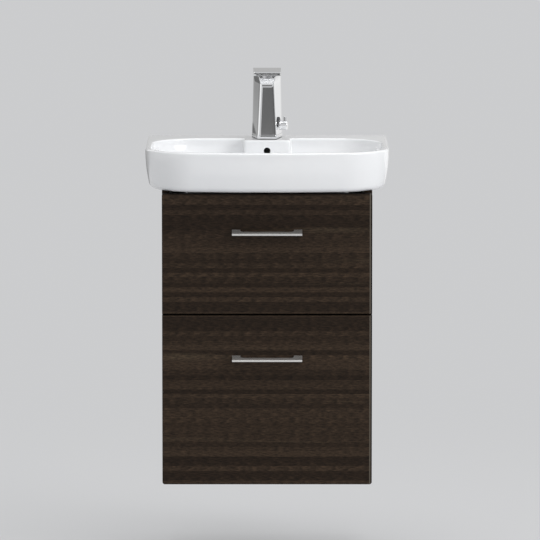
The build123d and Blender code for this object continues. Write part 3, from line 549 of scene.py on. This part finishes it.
def bowlLoop(level, grow):
    b = basinShape
    halfWidth = b["halfWidth"] - b["bowlMargin"]
    halfDepth = (b["depth"] - b["bowlMargin"] - b["bowlBack"]) / 2
    middle = -(b["bowlBack"] + halfDepth) * (1 - level) - b["drainBack"] * level
    side = (1 - level ** b["sidePower"]) ** (1 / b["sidePower"])
    front = (1 - level ** b["frontPower"]) ** (1 / b["frontPower"])
    ledgeFront = -b["ledgeFront"] + max(grow, 0) if grow <= b["lipRadius"] else -b["roomFront"]
    ledgeHalf = b["ledgeHalf"] - grow if grow <= b["lipRadius"] else b["roomHalf"]
    return fullLoop(
        halfLoop(
            halfWidth * side + grow,
            middle - halfDepth * front - grow,
            (b["cornerRadius"] - b["bowlMargin"]) * front + grow,
            (b["bow"] - b["bowlMargin"]) * side + grow,
            middle + halfDepth * front + grow,
            b["bowlBackRadius"] * front + grow,
            ledgeHalf,
            ledgeFront,
            b["ledgeRadius"],
        )
    )


def circleLoop(radius, like):
    back = basinShape["drainBack"]
    loop = []
    for x, y in like:
        turn = math.atan2(x, y + back)
        loop.append((radius * math.sin(turn), -back + radius * math.cos(turn)))
    return loop


# The flat rim between two level loops, filled so that no face folds over
def fillRim(loops, row):
    count = len(loops[0])
    rings, labels = [], []
    for ring in (row, row + 1):
        kept = []
        for k, point in enumerate(loops[ring]):
            point = Vector(point)
            if not kept or (point - kept[-1]).length > 2e-6:
                kept.append(point)
                labels.append(ring * count + k)
        rings.append(kept)
    return [tuple(labels[k] for k in triangle) for triangle in tessellate_polygon(rings)]


def buildBasin():
    b = basinShape
    rim = b["rim"]
    loops = []
    # The drain, the bowl and its lip
    floorLoop = bowlLoop(b["bowlEnd"], 0)
    floor = rim - b["bowlDepth"] * b["bowlEnd"]
    loops.append(atHeight(circleLoop(b["drainRadius"], floorLoop), b["hornFoot"]))
    loops.append(atHeight(circleLoop(b["drainRadius"], floorLoop), floor - b["recessDepth"]))
    loops.append(atHeight(circleLoop(b["recessRadius"], floorLoop), floor - b["recessDepth"]))
    loops.append(atHeight(circleLoop(b["recessRadius"], floorLoop), floor))
    steps = 30
    for k in range(steps + 1):
        level = b["bowlEnd"] * math.cos(math.pi / 2 * k / steps) ** 0.8 if k < steps else 0
        drop = b["bowlDepth"] * level
        if drop < b["lipRadius"] * 1.5:
            continue
        loops.append(atHeight(bowlLoop(level, 0), rim - drop))
    for k in range(7):
        turn = math.pi / 2 * (1 - k / 6)
        grow = b["lipRadius"] * (1 - math.sin(turn))
        drop = b["lipRadius"] * (1 - math.cos(turn))
        loops.append(atHeight(bowlLoop(0, grow), rim - drop))
    rimRow = len(loops) - 1
    # The rim's outer edge, the apron and its foot
    for k in range(7):
        turn = math.pi / 2 * k / 6
        inset = b["rimRadius"] * (1 - math.sin(turn))
        loops.append(atHeight(outerLoop(inset), rim - b["rimRadius"] * (1 - math.cos(turn))))
    apronEnd = rim - b["foot"] - b["footRadius"]
    for k in range(1, 9):
        drop = b["rimRadius"] + (apronEnd - b["rimRadius"]) * k / 9
        loops.append(atHeight(outerLoop((drop - b["rimRadius"]) ** 2 / (2 * b["leanRadius"])), rim - drop))
    for k in range(9):
        turn = math.pi / 2 * k / 8
        drop = apronEnd + b["footRadius"] * math.sin(turn)
        lean = (drop - b["rimRadius"]) ** 2 / (2 * b["leanRadius"])
        loops.append(atHeight(outerLoop(lean + b["footRadius"] * (1 - math.cos(turn))), rim - drop))
    # Underneath: the seat, the hollow, the bowl's outside and the horn
    for side, front, heights in (
        (b["seatSide"], b["seatFront"], (b["foot"], b["seatTop"])),
        (b["wallSide"], b["wallSide"], (b["seatTop"], b["deckUnder"])),
    ):
        under = fullLoop(
            halfLoop(
                b["halfWidth"] - side,
                -(b["depth"] - front),
                b["cornerRadius"] - side,
                b["bow"],
                -b["backWall"],
                b["backRadius"],
                b["roomHalf"],
                -b["backWall"],
                0,
            )
        )
        for z in heights:
            loops.append(atHeight(under, z))
    shellDepth = b["bowlDepth"] + b["shellWall"]
    for level in (0.13, 0.25, 0.37, 0.49, 0.6, 0.7, 0.79, 0.87, b["bowlEnd"]):
        loops.append(atHeight(bowlLoop(level, b["shellWall"]), rim - shellDepth * level))
    shellFoot = rim - shellDepth * b["bowlEnd"]
    loops.append(atHeight(circleLoop(b["hornRadius"], floorLoop), shellFoot))
    loops.append(atHeight(circleLoop(b["hornRadius"], floorLoop), b["hornFoot"]))
    points = [point for loop in loops for point in loop]
    faces = bridgeLoops(loops, closed=True)
    count = len(loops[0])
    faces[rimRow * count : (rimRow + 1) * count] = fillRim(loops, rimRow)
    basin = makePiece("basinGlazed", points, faces, whiteGlaze, "unit", 40)
    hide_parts("basin")
    return basin


basinPiece = buildBasin()
print("basin ready:", len(basinPiece.data.polygons), "faces")

# Holes in the basin are cut with plugs of many sides, which are then deleted
basinHoles = {
    "overflow": {"radius": 0.007, "start": (0, -0.118, 0.103), "end": (0, -0.096, 0.103)},
    "boltLeft": {"radius": 0.007, "start": (-0.14, -0.03, 0.068), "end": (-0.14, 0.01, 0.068)},
    "boltRight": {"radius": 0.007, "start": (0.14, -0.03, 0.068), "end": (0.14, 0.01, 0.068)},
    "tap": {"radius": 0.0175, "start": (0, -0.06, 0.1), "end": (0, -0.06, 0.13)},
}


def cutHole(piece, radius, start, end):
    start, end = Vector(start), Vector(end)
    turn = (end - start).to_track_quat("Z", "Y").to_matrix().to_4x4()
    work = bmesh.new()
    bmesh.ops.create_cone(
        work,
        cap_ends=True,
        segments=40,
        radius1=radius,
        radius2=radius,
        depth=(end - start).length,
        matrix=Matrix.Translation((start + end) / 2) @ turn,
    )
    mesh = bpy.data.meshes.new("holePlug")
    work.to_mesh(mesh)
    work.free()
    plug = bpy.data.objects.new("holePlug", mesh)
    bpy.context.scene.collection.objects.link(plug)
    cut = piece.modifiers.new("hole", "BOOLEAN")
    cut.object = plug
    cut.solver = "EXACT"
    applyModifiers(piece)
    bpy.data.objects.remove(plug)


def applyModifiers(piece):
    graph = bpy.context.evaluated_depsgraph_get()
    done = bpy.data.meshes.new_from_object(piece.evaluated_get(graph))
    old = piece.data
    piece.modifiers.clear()
    piece.data = done
    bpy.data.meshes.remove(old)


for hole in basinHoles.values():
    cutHole(basinPiece, hole["radius"], hole["start"], hole["end"])
shadeSmooth(basinPiece.data, 40)
print("basin holes cut:", len(basinPiece.data.polygons), "faces")

# The tap's body: level sections, wide at the back and narrow at the front, with rounded corners
tapShape = {
    "rim": 0.125,
    "back": 0.03,
    "front": 0.09,
    "footLow": 0.001,
    "footTop": 0.009,
    "footMargin": 0.0008,
    "halfBack": 0.0317,
    "halfFront": 0.0192,
    "topHalfBack": 0.0295,
    "topHalfFront": 0.014,
    "topFront": 0.086,
    "columnTop": 0.115,
    "headHalf": 0.02925,
    "headFrontHalf": 0.028,
    "headHeight": 0.137,
    "reach": 0.14,
    "lip": 0.0039,
    "lidGap": 0.0016,
    "lidInset": 0.003,
    "columnEdge": 0.0052,
    "headEdge": 0.0012,
    "backEdge": 0.0022,
    "footHollow": 0.006,
    "footLowRound": 0.0006,
    "footTopRound": 0.0008,
    "lipRound": 0.0006,
}


def sectionLoop(height, halfBack, halfFront, front, edge, backEdge):
    t = tapShape
    corners = [
        (Vector((halfBack, -t["back"])), backEdge),
        (Vector((halfFront, -front)), edge),
        (Vector((-halfFront, -front)), edge),
        (Vector((-halfBack, -t["back"])), backEdge),
    ]
    points = []
    arcSteps, sideSteps = 5, 6
    for k, (corner, radius) in enumerate(corners):
        before = (corners[k - 1][0] - corner).normalized()
        after = (corners[(k + 1) % 4][0] - corner).normalized()
        half = before.angle(after) / 2
        reach = radius / math.tan(half)
        centre = corner + (before + after).normalized() * radius / math.sin(half)
        first = corner + before * reach - centre
        last = corner + after * reach - centre
        sweep = math.pi - 2 * half
        for step in range(arcSteps + 1):
            share = step / arcSteps
            low = math.sin((1 - share) * sweep) / math.sin(sweep)
            high = math.sin(share * sweep) / math.sin(sweep)
            points.append(centre + first * low + last * high)
        nextCorner, nextRadius = corners[(k + 1) % 4]
        nextHalf = (corner - nextCorner).angle(corners[(k + 2) % 4][0] - nextCorner) / 2
        start = centre + last
        end = nextCorner + (corner - nextCorner).normalized() * nextRadius / math.tan(nextHalf)
        for step in range(1, sideSteps):
            points.append(start + (end - start) * step / sideSteps)
    return [(p.x, p.y, t["rim"] + height) for p in points]


def buildTapBody():
    t = tapShape
    loops = []

    def ring(height, halfBack, halfFront, front, inset=0.0, edge=t["columnEdge"]):
        loops.append(
            sectionLoop(height, halfBack - inset, halfFront - inset, front - inset, edge, t["backEdge"])
        )

    footBack, footFront, footReach = (t[k] + t["footMargin"] for k in ("halfBack", "halfFront", "front"))
    ring(t["footLow"], footBack, footFront, footReach, t["footHollow"])
    lowRound, topRound = t["footLowRound"], t["footTopRound"]
    for turn in (0, 45, 90):
        a = math.radians(turn)
        height = t["footLow"] + lowRound * (1 - math.cos(a))
        ring(height, footBack, footFront, footReach, lowRound * (1 - math.sin(a)))
    for turn in (0, 45, 90):
        a = math.radians(turn)
        height = t["footTop"] - topRound * (1 - math.sin(a))
        ring(height, footBack, footFront, footReach, topRound * (1 - math.cos(a)))
    for step in range(13):
        share = step / 12
        ring(
            t["footTop"] + (t["columnTop"] - t["footTop"]) * share,
            t["halfBack"] + (t["topHalfBack"] - t["halfBack"]) * share,
            t["halfFront"] + (t["topHalfFront"] - t["halfFront"]) * share,
            t["front"] + (t["topFront"] - t["front"]) * share,
        )
    for step in range(1, 17):
        a = math.pi / 2 * step / 16
        rise = 1 - math.cos(a)
        ring(
            t["columnTop"] + (t["headHeight"] - t["columnTop"]) * math.sin(a),
            t["topHalfBack"] + (t["headHalf"] - t["topHalfBack"]) * rise,
            t["topHalfFront"] + (t["headFrontHalf"] - t["topHalfFront"]) * rise**1.5,
            t["topFront"] + (t["reach"] - t["topFront"]) * rise,
            0,
            t["columnEdge"] + (t["headEdge"] - t["columnEdge"]) * rise,
        )
    top = t["headHeight"] + t["lip"]
    for turn in (30, 60, 90):
        a = math.radians(turn)
        ring(
            t["headHeight"] + t["lipRound"] * (1 - math.cos(a)),
            t["headHalf"],
            t["headFrontHalf"],
            t["reach"],
            0,
            t["headEdge"],
        )
    for turn in (0, 30, 60, 90):
        a = math.radians(turn)
        inset = t["lipRound"] * (1 - math.cos(a))
        height = top - t["lipRound"] * (1 - math.sin(a))
        ring(height, t["headHalf"], t["headFrontHalf"], t["reach"], inset, t["headEdge"])
    for height in (top, top + t["lidGap"]):
        ring(height, t["headHalf"], t["headFrontHalf"], t["reach"], t["lidInset"], t["headEdge"])
    points = [point for loop in loops for point in loop]
    faces = bridgeLoops(loops)
    count = len(loops[0])
    faces.append(tuple(reversed(range(count))))
    faces.append(tuple(range(len(points) - count, len(points))))
    body = makePiece("tapBodyCast", points, faces, polishedChrome, "unit", 28)
    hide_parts("tap_body")
    return body


tapBody = buildTapBody()
print("tap body ready:", len(tapBody.data.polygons), "faces")


# Crisp CAD edges get a small rounding that catches the light
def roundEdges(name, width, segments, angle=30):
    node = nodes[name]
    bevel = node.modifiers.new("roundEdges", "BEVEL")
    bevel.width = width
    bevel.segments = segments
    bevel.limit_method = "ANGLE"
    bevel.angle_limit = math.radians(angle)
    bevel.harden_normals = True


# Width and segments of the rounding, by the end of a node's name
edgeRounding = {"tap_lid": (0.0005, 3), "_front": (0.0011, 4), "_handle": (0.0004, 2)}
for name in nodes:
    for ending, (width, segments) in edgeRounding.items():
        if name.endswith(ending):
            roundEdges(name, width, segments)

# Painted shade: a dark ring fills the gap under the tap's lid, standing in for the shadow in that gap
lidGapShade = {"low": 0.00005, "high": 0.00155, "outerInset": 0.0013, "innerInset": 0.0029}


def buildLidGapShade():
    t, s = tapShape, lidGapShade
    base = t["headHeight"] + t["lip"]
    loops = []
    for height, inset in (
        (s["low"], s["outerInset"]),
        (s["high"], s["outerInset"]),
        (s["high"], s["innerInset"]),
        (s["low"], s["innerInset"]),
    ):
        loops.append(
            sectionLoop(
                base + height,
                t["headHalf"] - inset,
                t["headFrontHalf"] - inset,
                t["reach"] - inset,
                t["headEdge"],
                t["backEdge"] - inset / 2,
            )
        )
    points = [point for loop in loops for point in loop]
    gapShade = makePiece("lidGapShade", points, bridgeLoops(loops, closed=True), sealRubber, "unit")


# The dark cover of the sensor follows the hollow under the spout; it is also painted shade for the shadowed
# underside of the head
sensorCoverAndShade = {
    "from": 38,
    "to": 84,
    "side": 0.0016,
    "proud": 0.0003,
    "sunk": 0.0006,
    "hole": 0.0113,
    "holeAt": 0.119,
    "holeLow": 0.1,
    "holeHigh": 0.14,
}


def buildSensorCoverAndShade():
    t, coverAndShade = tapShape, sensorCoverAndShade
    rows, across = 12, 14
    sheets = ([], [])
    for row in range(rows + 1):
        a = math.radians(coverAndShade["from"] + (coverAndShade["to"] - coverAndShade["from"]) * row / rows)
        rise = 1 - math.cos(a)
        half = t["topHalfFront"] + (t["headFrontHalf"] - t["topHalfFront"]) * rise**1.5 - coverAndShade["side"]
        reach = t["topFront"] + (t["reach"] - t["topFront"]) * rise
        height = t["columnTop"] + (t["headHeight"] - t["columnTop"]) * math.sin(a)
        out = Vector((t["headHeight"] - t["columnTop"], t["reach"] - t["topFront"]))
        out = Vector((out.x * math.cos(a), out.y * math.sin(a))).normalized()
        for sheet, away in zip(sheets, (coverAndShade["proud"], -coverAndShade["sunk"])):
            for k in range(across + 1):
                x = half * (2 * k / across - 1)
                sheet.append((x, -reach - out.x * away, t["rim"] + height - out.y * away))
    wide = across + 1
    count = len(sheets[0])
    faces = []
    for row in range(rows):
        for k in range(across):
            low = row * wide + k
            faces.append((low, low + 1, low + 1 + wide, low + wide))
            faces.append((count + low + wide, count + low + 1 + wide, count + low + 1, count + low))
    border = list(range(across)) + [r * wide + across for r in range(rows)]
    border += [rows * wide + k for k in range(across, 0, -1)] + [r * wide for r in range(rows, 0, -1)]
    for k, low in enumerate(border):
        after = border[(k + 1) % len(border)]
        faces.append((after, low, count + low, count + after))
    piece = makePiece("sensorCoverAndShade", sheets[0] + sheets[1], faces, windowPlastic, "unit")
    ends = [(0, -coverAndShade["holeAt"], t["rim"] + coverAndShade[key]) for key in ("holeLow", "holeHigh")]
    cutHole(piece, coverAndShade["hole"], *ends)
    shadeSmooth(piece.data, 35)


buildLidGapShade()
buildSensorCoverAndShade()


# A turned piece: rings about an axis, from (distance along it, radius) pairs
def buildTurned(name, start, axis, profile, material, body, sides=48, angle=30):
    start, axis = Vector(start), Vector(axis).normalized()
    sideways = axis.orthogonal().normalized()
    other = axis.cross(sideways)
    loops = []
    for along, radius in profile:
        loop = []
        for k in range(sides):
            turn = 2 * math.pi * k / sides
            loop.append(start + axis * along + (sideways * math.cos(turn) + other * math.sin(turn)) * radius)
        loops.append(loop)
    points = [point for loop in loops for point in loop]
    faces = bridgeLoops(loops)
    faces.append(tuple(reversed(range(sides))))
    faces.append(tuple(range(len(points) - sides, len(points))))
    return makePiece(name, points, faces, material, body, angle)


# The end of a turned profile, rounded
def roundedEnd(end, radius, edge, steps=5, sign=1):
    profile = []
    for k in range(steps + 1):
        turn = math.pi / 2 * k / steps
        profile.append((end - sign * edge * (1 - math.sin(turn)), radius - edge * (1 - math.cos(turn))))
    return profile


# The temperature control: a chrome barrel on a black collar, the collar painted shade for the shadow gap
# round the barrel
control = {
    "collarLow": -0.0012,
    "collarOut": 0.0022,
    "collarRadius": 0.0108,
    "barrelRadius": 0.0093,
    "barrelDrop": 0.007,
    "barrelEnd": 0.0194,
    "edge": 0.0009,
}


def buildControl():
    c = control
    joint = next(j for j in frame["joints"] if j["name"] == "temperature_turn")
    pivot, axis = Vector(joint["pos_m"]), Vector(joint["axis"])
    shadeCollar = buildTurned(
        "controlShadeCollar",
        pivot,
        axis,
        [(c["collarLow"], c["collarRadius"])] + roundedEnd(c["collarOut"], c["collarRadius"], c["edge"]),
        washerPlastic,
        "temperature_control",
    )
    dropped = pivot - Vector((0, 0, c["barrelDrop"]))
    profile = roundedEnd(c["collarOut"], c["barrelRadius"], c["edge"] / 2, sign=-1)[::-1]
    profile += roundedEnd(c["barrelEnd"], c["barrelRadius"], c["edge"])
    barrel = buildTurned("controlBarrel", dropped, axis, profile, polishedChrome, "temperature_control", 64)
    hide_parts("temp_grip")
    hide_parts("temp_grip")


buildControl()

# Painted shade: a dark lined pocket makes the overflow's hole dark inside, as a shaded recess
overflow = {"mouth": 0.1123, "end": 0.0965, "radius": 0.00694, "wall": 0.0004, "height": 0.103}


def buildOverflow():
    o = overflow
    deep = o["mouth"] - o["end"]
    profile = [(0.0, o["radius"] - o["wall"]), (0.0, o["radius"]), (deep, o["radius"])]
    mouth = (0, -o["mouth"], o["height"])
    shadeLining = buildTurned("overflowShadeLining", mouth, (0, 1, 0), profile, sealRubber, "unit")
    work = bmesh.new()
    work.from_mesh(shadeLining.data)
    front = [face for face in work.faces if face.normal.y < -0.9 and face.calc_area() > 1e-4]
    pocket = bmesh.ops.extrude_discrete_faces(work, faces=front)["faces"]
    for face in pocket:
        bmesh.ops.translate(work, verts=face.verts, vec=(0, deep - o["wall"], 0))
    bmesh.ops.recalc_face_normals(work, faces=work.faces)
    work.to_mesh(shadeLining.data)
    work.free()
    shadeSmooth(shadeLining.data, 30)


buildOverflow()
print("tap and overflow details ready")

# The trap's round nuts have ribs to grip
nutRibs = {"count": 22, "radius": 0.0011, "sunk": 0.0004, "share": 0.74, "arcSteps": 6}


def buildNutRibs(name):
    r = nutRibs
    node = nodes[name]
    placed = [node.matrix_world @ vertex.co for vertex in node.data.vertices]
    low = Vector([min(point[k] for point in placed) for k in range(3)])
    high = Vector([max(point[k] for point in placed) for k in range(3)])
    size, middle = high - low, (high + low) / 2
    along = min(range(3), key=lambda k: abs(size[(k + 1) % 3] - size[(k + 2) % 3]))
    across, up = (along + 1) % 3, (along + 2) % 3
    if abs(size[across] - size[up]) > 0.0005:
        return
    nutRadius, half = size[across] / 2, size[along] * r["share"] / 2
    points, faces = [], []
    for rib in range(r["count"]):
        turn = 2 * math.pi * rib / r["count"]
        first = len(points)
        for end in (-half, half):
            for step in range(r["arcSteps"] + 1):
                bend = math.pi * (step / r["arcSteps"] - 0.5)
                out = nutRadius - r["sunk"] + r["radius"] * math.cos(bend)
                side = r["radius"] * math.sin(bend)
                point = middle.copy()
                point[along] += end
                point[across] += out * math.cos(turn) - side * math.sin(turn)
                point[up] += out * math.sin(turn) + side * math.cos(turn)
                points.append(point)
        wide = r["arcSteps"] + 1
        for step in range(wide):
            after = (step + 1) % wide
            faces.append((first + step, first + after, first + wide + after, first + wide + step))
        faces.append(tuple(first + step for step in reversed(range(wide))))
        faces.append(tuple(first + wide + step for step in range(wide)))
    ribs = makePiece(name + "_ribs", points, faces, trapPlastic, "unit")


for name in ("trap_union_nut", "trap_elbow_nut", "trap_bottle_nut", "trap_outlet_nut"):
    buildNutRibs(name)
print("trap nuts ribbed")

# Studio: a pale floor that fades into a pale background, soft lamps, and cards that only
# mirror-like surfaces see
studio = {
    "background": (0.6, 0.605, 0.615),
    "floorHeight": -0.725,
    "floorReach": 14.0,
    "shadowReach": 2.2,
    "shadowShare": 0.5,
    "skyFill": 0.72,
    "cards": {
        "frontCard": {
            "start": (-0.4, -4.6),
            "end": (2.8, -4.6),
            "low": 0.0,
            "high": 1.7,
            "shades": (0.17, 0.13),
        },
        "footCard": {
            "start": (-0.7, -4.6),
            "end": (0.7, -4.6),
            "low": -0.42,
            "high": -0.18,
            "shades": (0.2, 0.2),
        },
        "lowCard": {
            "start": (-0.8, -2.4),
            "end": (0.8, -2.4),
            "low": -0.7,
            "high": -0.25,
            "shades": (1.0, 1.0),
        },
        "leftCard": {
            "start": (-3.2, -3.8),
            "end": (-4.2, 1.2),
            "low": -0.5,
            "high": 1.8,
            "shades": (1.1, 1.0),
        },
        "wallCard": {
            "start": (-4.4, 3.5),
            "end": (-0.6, 3.5),
            "low": -1.2,
            "high": -0.165,
            "shades": (0.13, 0.16),
        },
        "rightCard": {
            "start": (2.8, -4.6),
            "end": (4.8, -1.8),
            "low": -0.1,
            "high": 1.3,
            "shades": (0.12, 0.12),
        },
        "backCard": {
            "start": (-4.5, 3.6),
            "end": (4.5, 3.6),
            "low": -1.2,
            "high": 2.6,
            "shades": (0.0, 1.25),
        },
    },
    "cardFall": (-0.2, 0.8, 0.66),
    "lamps": {
        "keyLamp": {"place": (3.8, -3.0, 1.6), "size": 2.8, "power": 104},
        "topLamp": {"place": (0.3, -0.4, 3.2), "size": 2.4, "power": 40},
        "sideLamp": {"place": (-3.0, -2.6, 0.9), "size": 2.2, "power": 3},
        "rearLamp": {"place": (-1.8, 3.4, 1.6), "size": 2.2, "power": 12},
    },
}


def buildFloor():
    mesh = bpy.data.meshes.new("floor")
    side, z = studio["floorReach"], studio["floorHeight"]
    corners = [(-side, -side, z), (side, -side, z), (side, side, z), (-side, side, z)]
    mesh.from_pydata(corners, [], [(0, 1, 2, 3)])
    floor = bpy.data.objects.new("floor", mesh)
    bpy.context.scene.collection.objects.link(floor)
    material, tree, shader = newMaterial("paleFloor", studio["background"], 0.9)
    shader.inputs["Specular IOR Level"].default_value = 0.1
    mesh.materials.append(material)
    # What the camera sees of the floor turns into the background with distance
    where = addNode(tree, "ShaderNodeTexCoord")
    scaled = addNode(tree, "ShaderNodeMapping", Scale=(1 / studio["shadowReach"],) * 3)
    tree.links.new(where.outputs["Object"], scaled.inputs["Vector"])
    flat = addNode(tree, "ShaderNodeVectorMath", operation="MULTIPLY")
    flat.inputs[1].default_value = (1, 1, 0)
    tree.links.new(scaled.outputs["Vector"], flat.inputs[0])
    away = addNode(tree, "ShaderNodeVectorMath", operation="LENGTH")
    tree.links.new(flat.outputs["Vector"], away.inputs[0])
    fade = addNode(
        tree, "ShaderNodeMapRange", interpolation_type="SMOOTHSTEP", **{"To Min": 1 - studio["shadowShare"]}
    )
    tree.links.new(away.outputs["Value"], fade.inputs["Value"])
    glow = addNode(tree, "ShaderNodeEmission")
    glow.inputs["Color"].default_value = (*studio["background"], 1)
    both = addNode(tree, "ShaderNodeMixShader")
    tree.links.new(fade.outputs["Result"], both.inputs["Fac"])
    tree.links.new(shader.outputs["BSDF"], both.inputs[1])
    tree.links.new(glow.outputs["Emission"], both.inputs[2])
    seen = addNode(tree, "ShaderNodeMixShader")
    tree.links.new(seenDirectly(tree), seen.inputs["Fac"])
    tree.links.new(shader.outputs["BSDF"], seen.inputs[1])
    tree.links.new(both.outputs["Shader"], seen.inputs[2])
    output = next(node for node in tree.nodes if node.type == "OUTPUT_MATERIAL")
    tree.links.new(seen.outputs["Shader"], output.inputs["Surface"])


# 1 for a ray from the camera, a mirror or glass
def seenDirectly(tree):
    light = addNode(tree, "ShaderNodeLightPath")
    total = light.outputs["Is Camera Ray"]
    for kind in ("Is Glossy Ray", "Is Transmission Ray"):
        most = addNode(tree, "ShaderNodeMath", operation="MAXIMUM")
        tree.links.new(total, most.inputs[0])
        tree.links.new(light.outputs[kind], most.inputs[1])
        total = most.outputs[0]
    return total


def buildSky():
    world = bpy.data.worlds.new("studio")
    bpy.context.scene.world = world
    world.use_nodes = True
    tree = world.node_tree
    fill = tree.nodes["Background"]
    fill.inputs["Color"].default_value = (1, 1, 1, 1)
    fill.inputs["Strength"].default_value = studio["skyFill"]
    plain = addNode(tree, "ShaderNodeBackground")
    plain.inputs["Color"].default_value = (*studio["background"], 1)
    mix = addNode(tree, "ShaderNodeMixShader")
    tree.links.new(seenDirectly(tree), mix.inputs["Fac"])
    tree.links.new(fill.outputs["Background"], mix.inputs[1])
    tree.links.new(plain.outputs["Background"], mix.inputs[2])
    tree.links.new(mix.outputs["Shader"], tree.nodes["World Output"].inputs["Surface"])


# A glowing card stands on a line in plan, and dims with height
def buildCard(name, card):
    mesh = bpy.data.meshes.new(name)
    start, end = Vector(card["start"]), Vector(card["end"])
    low, high = card["low"], card["high"]
    middle = (start + end) / 2
    half = (end - start).length / 2
    mesh.from_pydata([(-half, 0, low), (half, 0, low), (half, 0, high), (-half, 0, high)], [], [(0, 1, 2, 3)])
    panel = bpy.data.objects.new(name, mesh)
    panel.location = (middle.x, middle.y, 0)
    panel.rotation_euler = (0, 0, math.atan2(end.y - start.y, end.x - start.x))
    bpy.context.scene.collection.objects.link(panel)
    material, tree, _ = newMaterial(name, (1, 1, 1), 1.0)
    mesh.materials.append(material)
    where = addNode(tree, "ShaderNodeTexCoord")
    split = addNode(tree, "ShaderNodeSeparateXYZ")
    tree.links.new(where.outputs["Object"], split.inputs["Vector"])
    shades = card["shades"]
    across = addNode(
        tree,
        "ShaderNodeMapRange",
        **{"From Min": -half, "From Max": half, "To Min": shades[0], "To Max": shades[1]},
    )
    tree.links.new(split.outputs["X"], across.inputs["Value"])
    foot, top, share = studio["cardFall"]
    fall = addNode(
        tree, "ShaderNodeMapRange", **{"From Min": foot, "From Max": top, "To Min": 1.0, "To Max": share}
    )
    tree.links.new(split.outputs["Z"], fall.inputs["Value"])
    power = addNode(tree, "ShaderNodeMath", operation="MULTIPLY")
    tree.links.new(across.outputs["Result"], power.inputs[0])
    tree.links.new(fall.outputs["Result"], power.inputs[1])
    glow = addNode(tree, "ShaderNodeEmission")
    tree.links.new(power.outputs[0], glow.inputs["Strength"])
    output = next(node for node in tree.nodes if node.type == "OUTPUT_MATERIAL")
    tree.links.new(glow.outputs["Emission"], output.inputs["Surface"])
    panel.visible_camera = False
    panel.visible_diffuse = False
    panel.visible_shadow = False


def buildLamps():
    for name, lamp in studio["lamps"].items():
        data = bpy.data.lights.new(name, "AREA")
        data.size = lamp["size"]
        data.energy = lamp["power"]
        data.shape = "DISK"
        light = bpy.data.objects.new(name, data)
        light.location = lamp["place"]
        aim = Vector((0, -0.2, -0.1)) - light.location
        light.rotation_euler = aim.to_track_quat("-Z", "Y").to_euler()
        light.visible_camera = False
        bpy.context.scene.collection.objects.link(light)


buildFloor()
buildSky()
for name, card in studio["cards"].items():
    buildCard(name, card)
buildLamps()

# The camera stands 11 m away with a long lens, as the photograph was taken
cameraSetup = {
    "place": (0, -11, 1.1773),
    "downAngle": 0.12104,
    "focalPixels": 5248.5,
    "framePixels": 540,
    "middlePixel": 267.1,
}


def buildCamera():
    c = cameraSetup
    data = bpy.data.cameras.new("photoCamera")
    data.sensor_width = 36
    data.lens = 36 * c["focalPixels"] / c["framePixels"]
    data.shift_x = (c["framePixels"] / 2 - c["middlePixel"]) / c["framePixels"]
    data.clip_start = 0.1
    data.clip_end = 60
    camera = bpy.data.objects.new("photoCamera", data)
    camera.location = c["place"]
    camera.rotation_euler = (math.pi / 2 - c["downAngle"], 0, 0)
    bpy.context.scene.collection.objects.link(camera)
    bpy.context.scene.camera = camera


buildCamera()
bpy.context.scene.view_settings.view_transform = "Standard"
print("studio and camera ready")

bpy.context.view_layer.update()
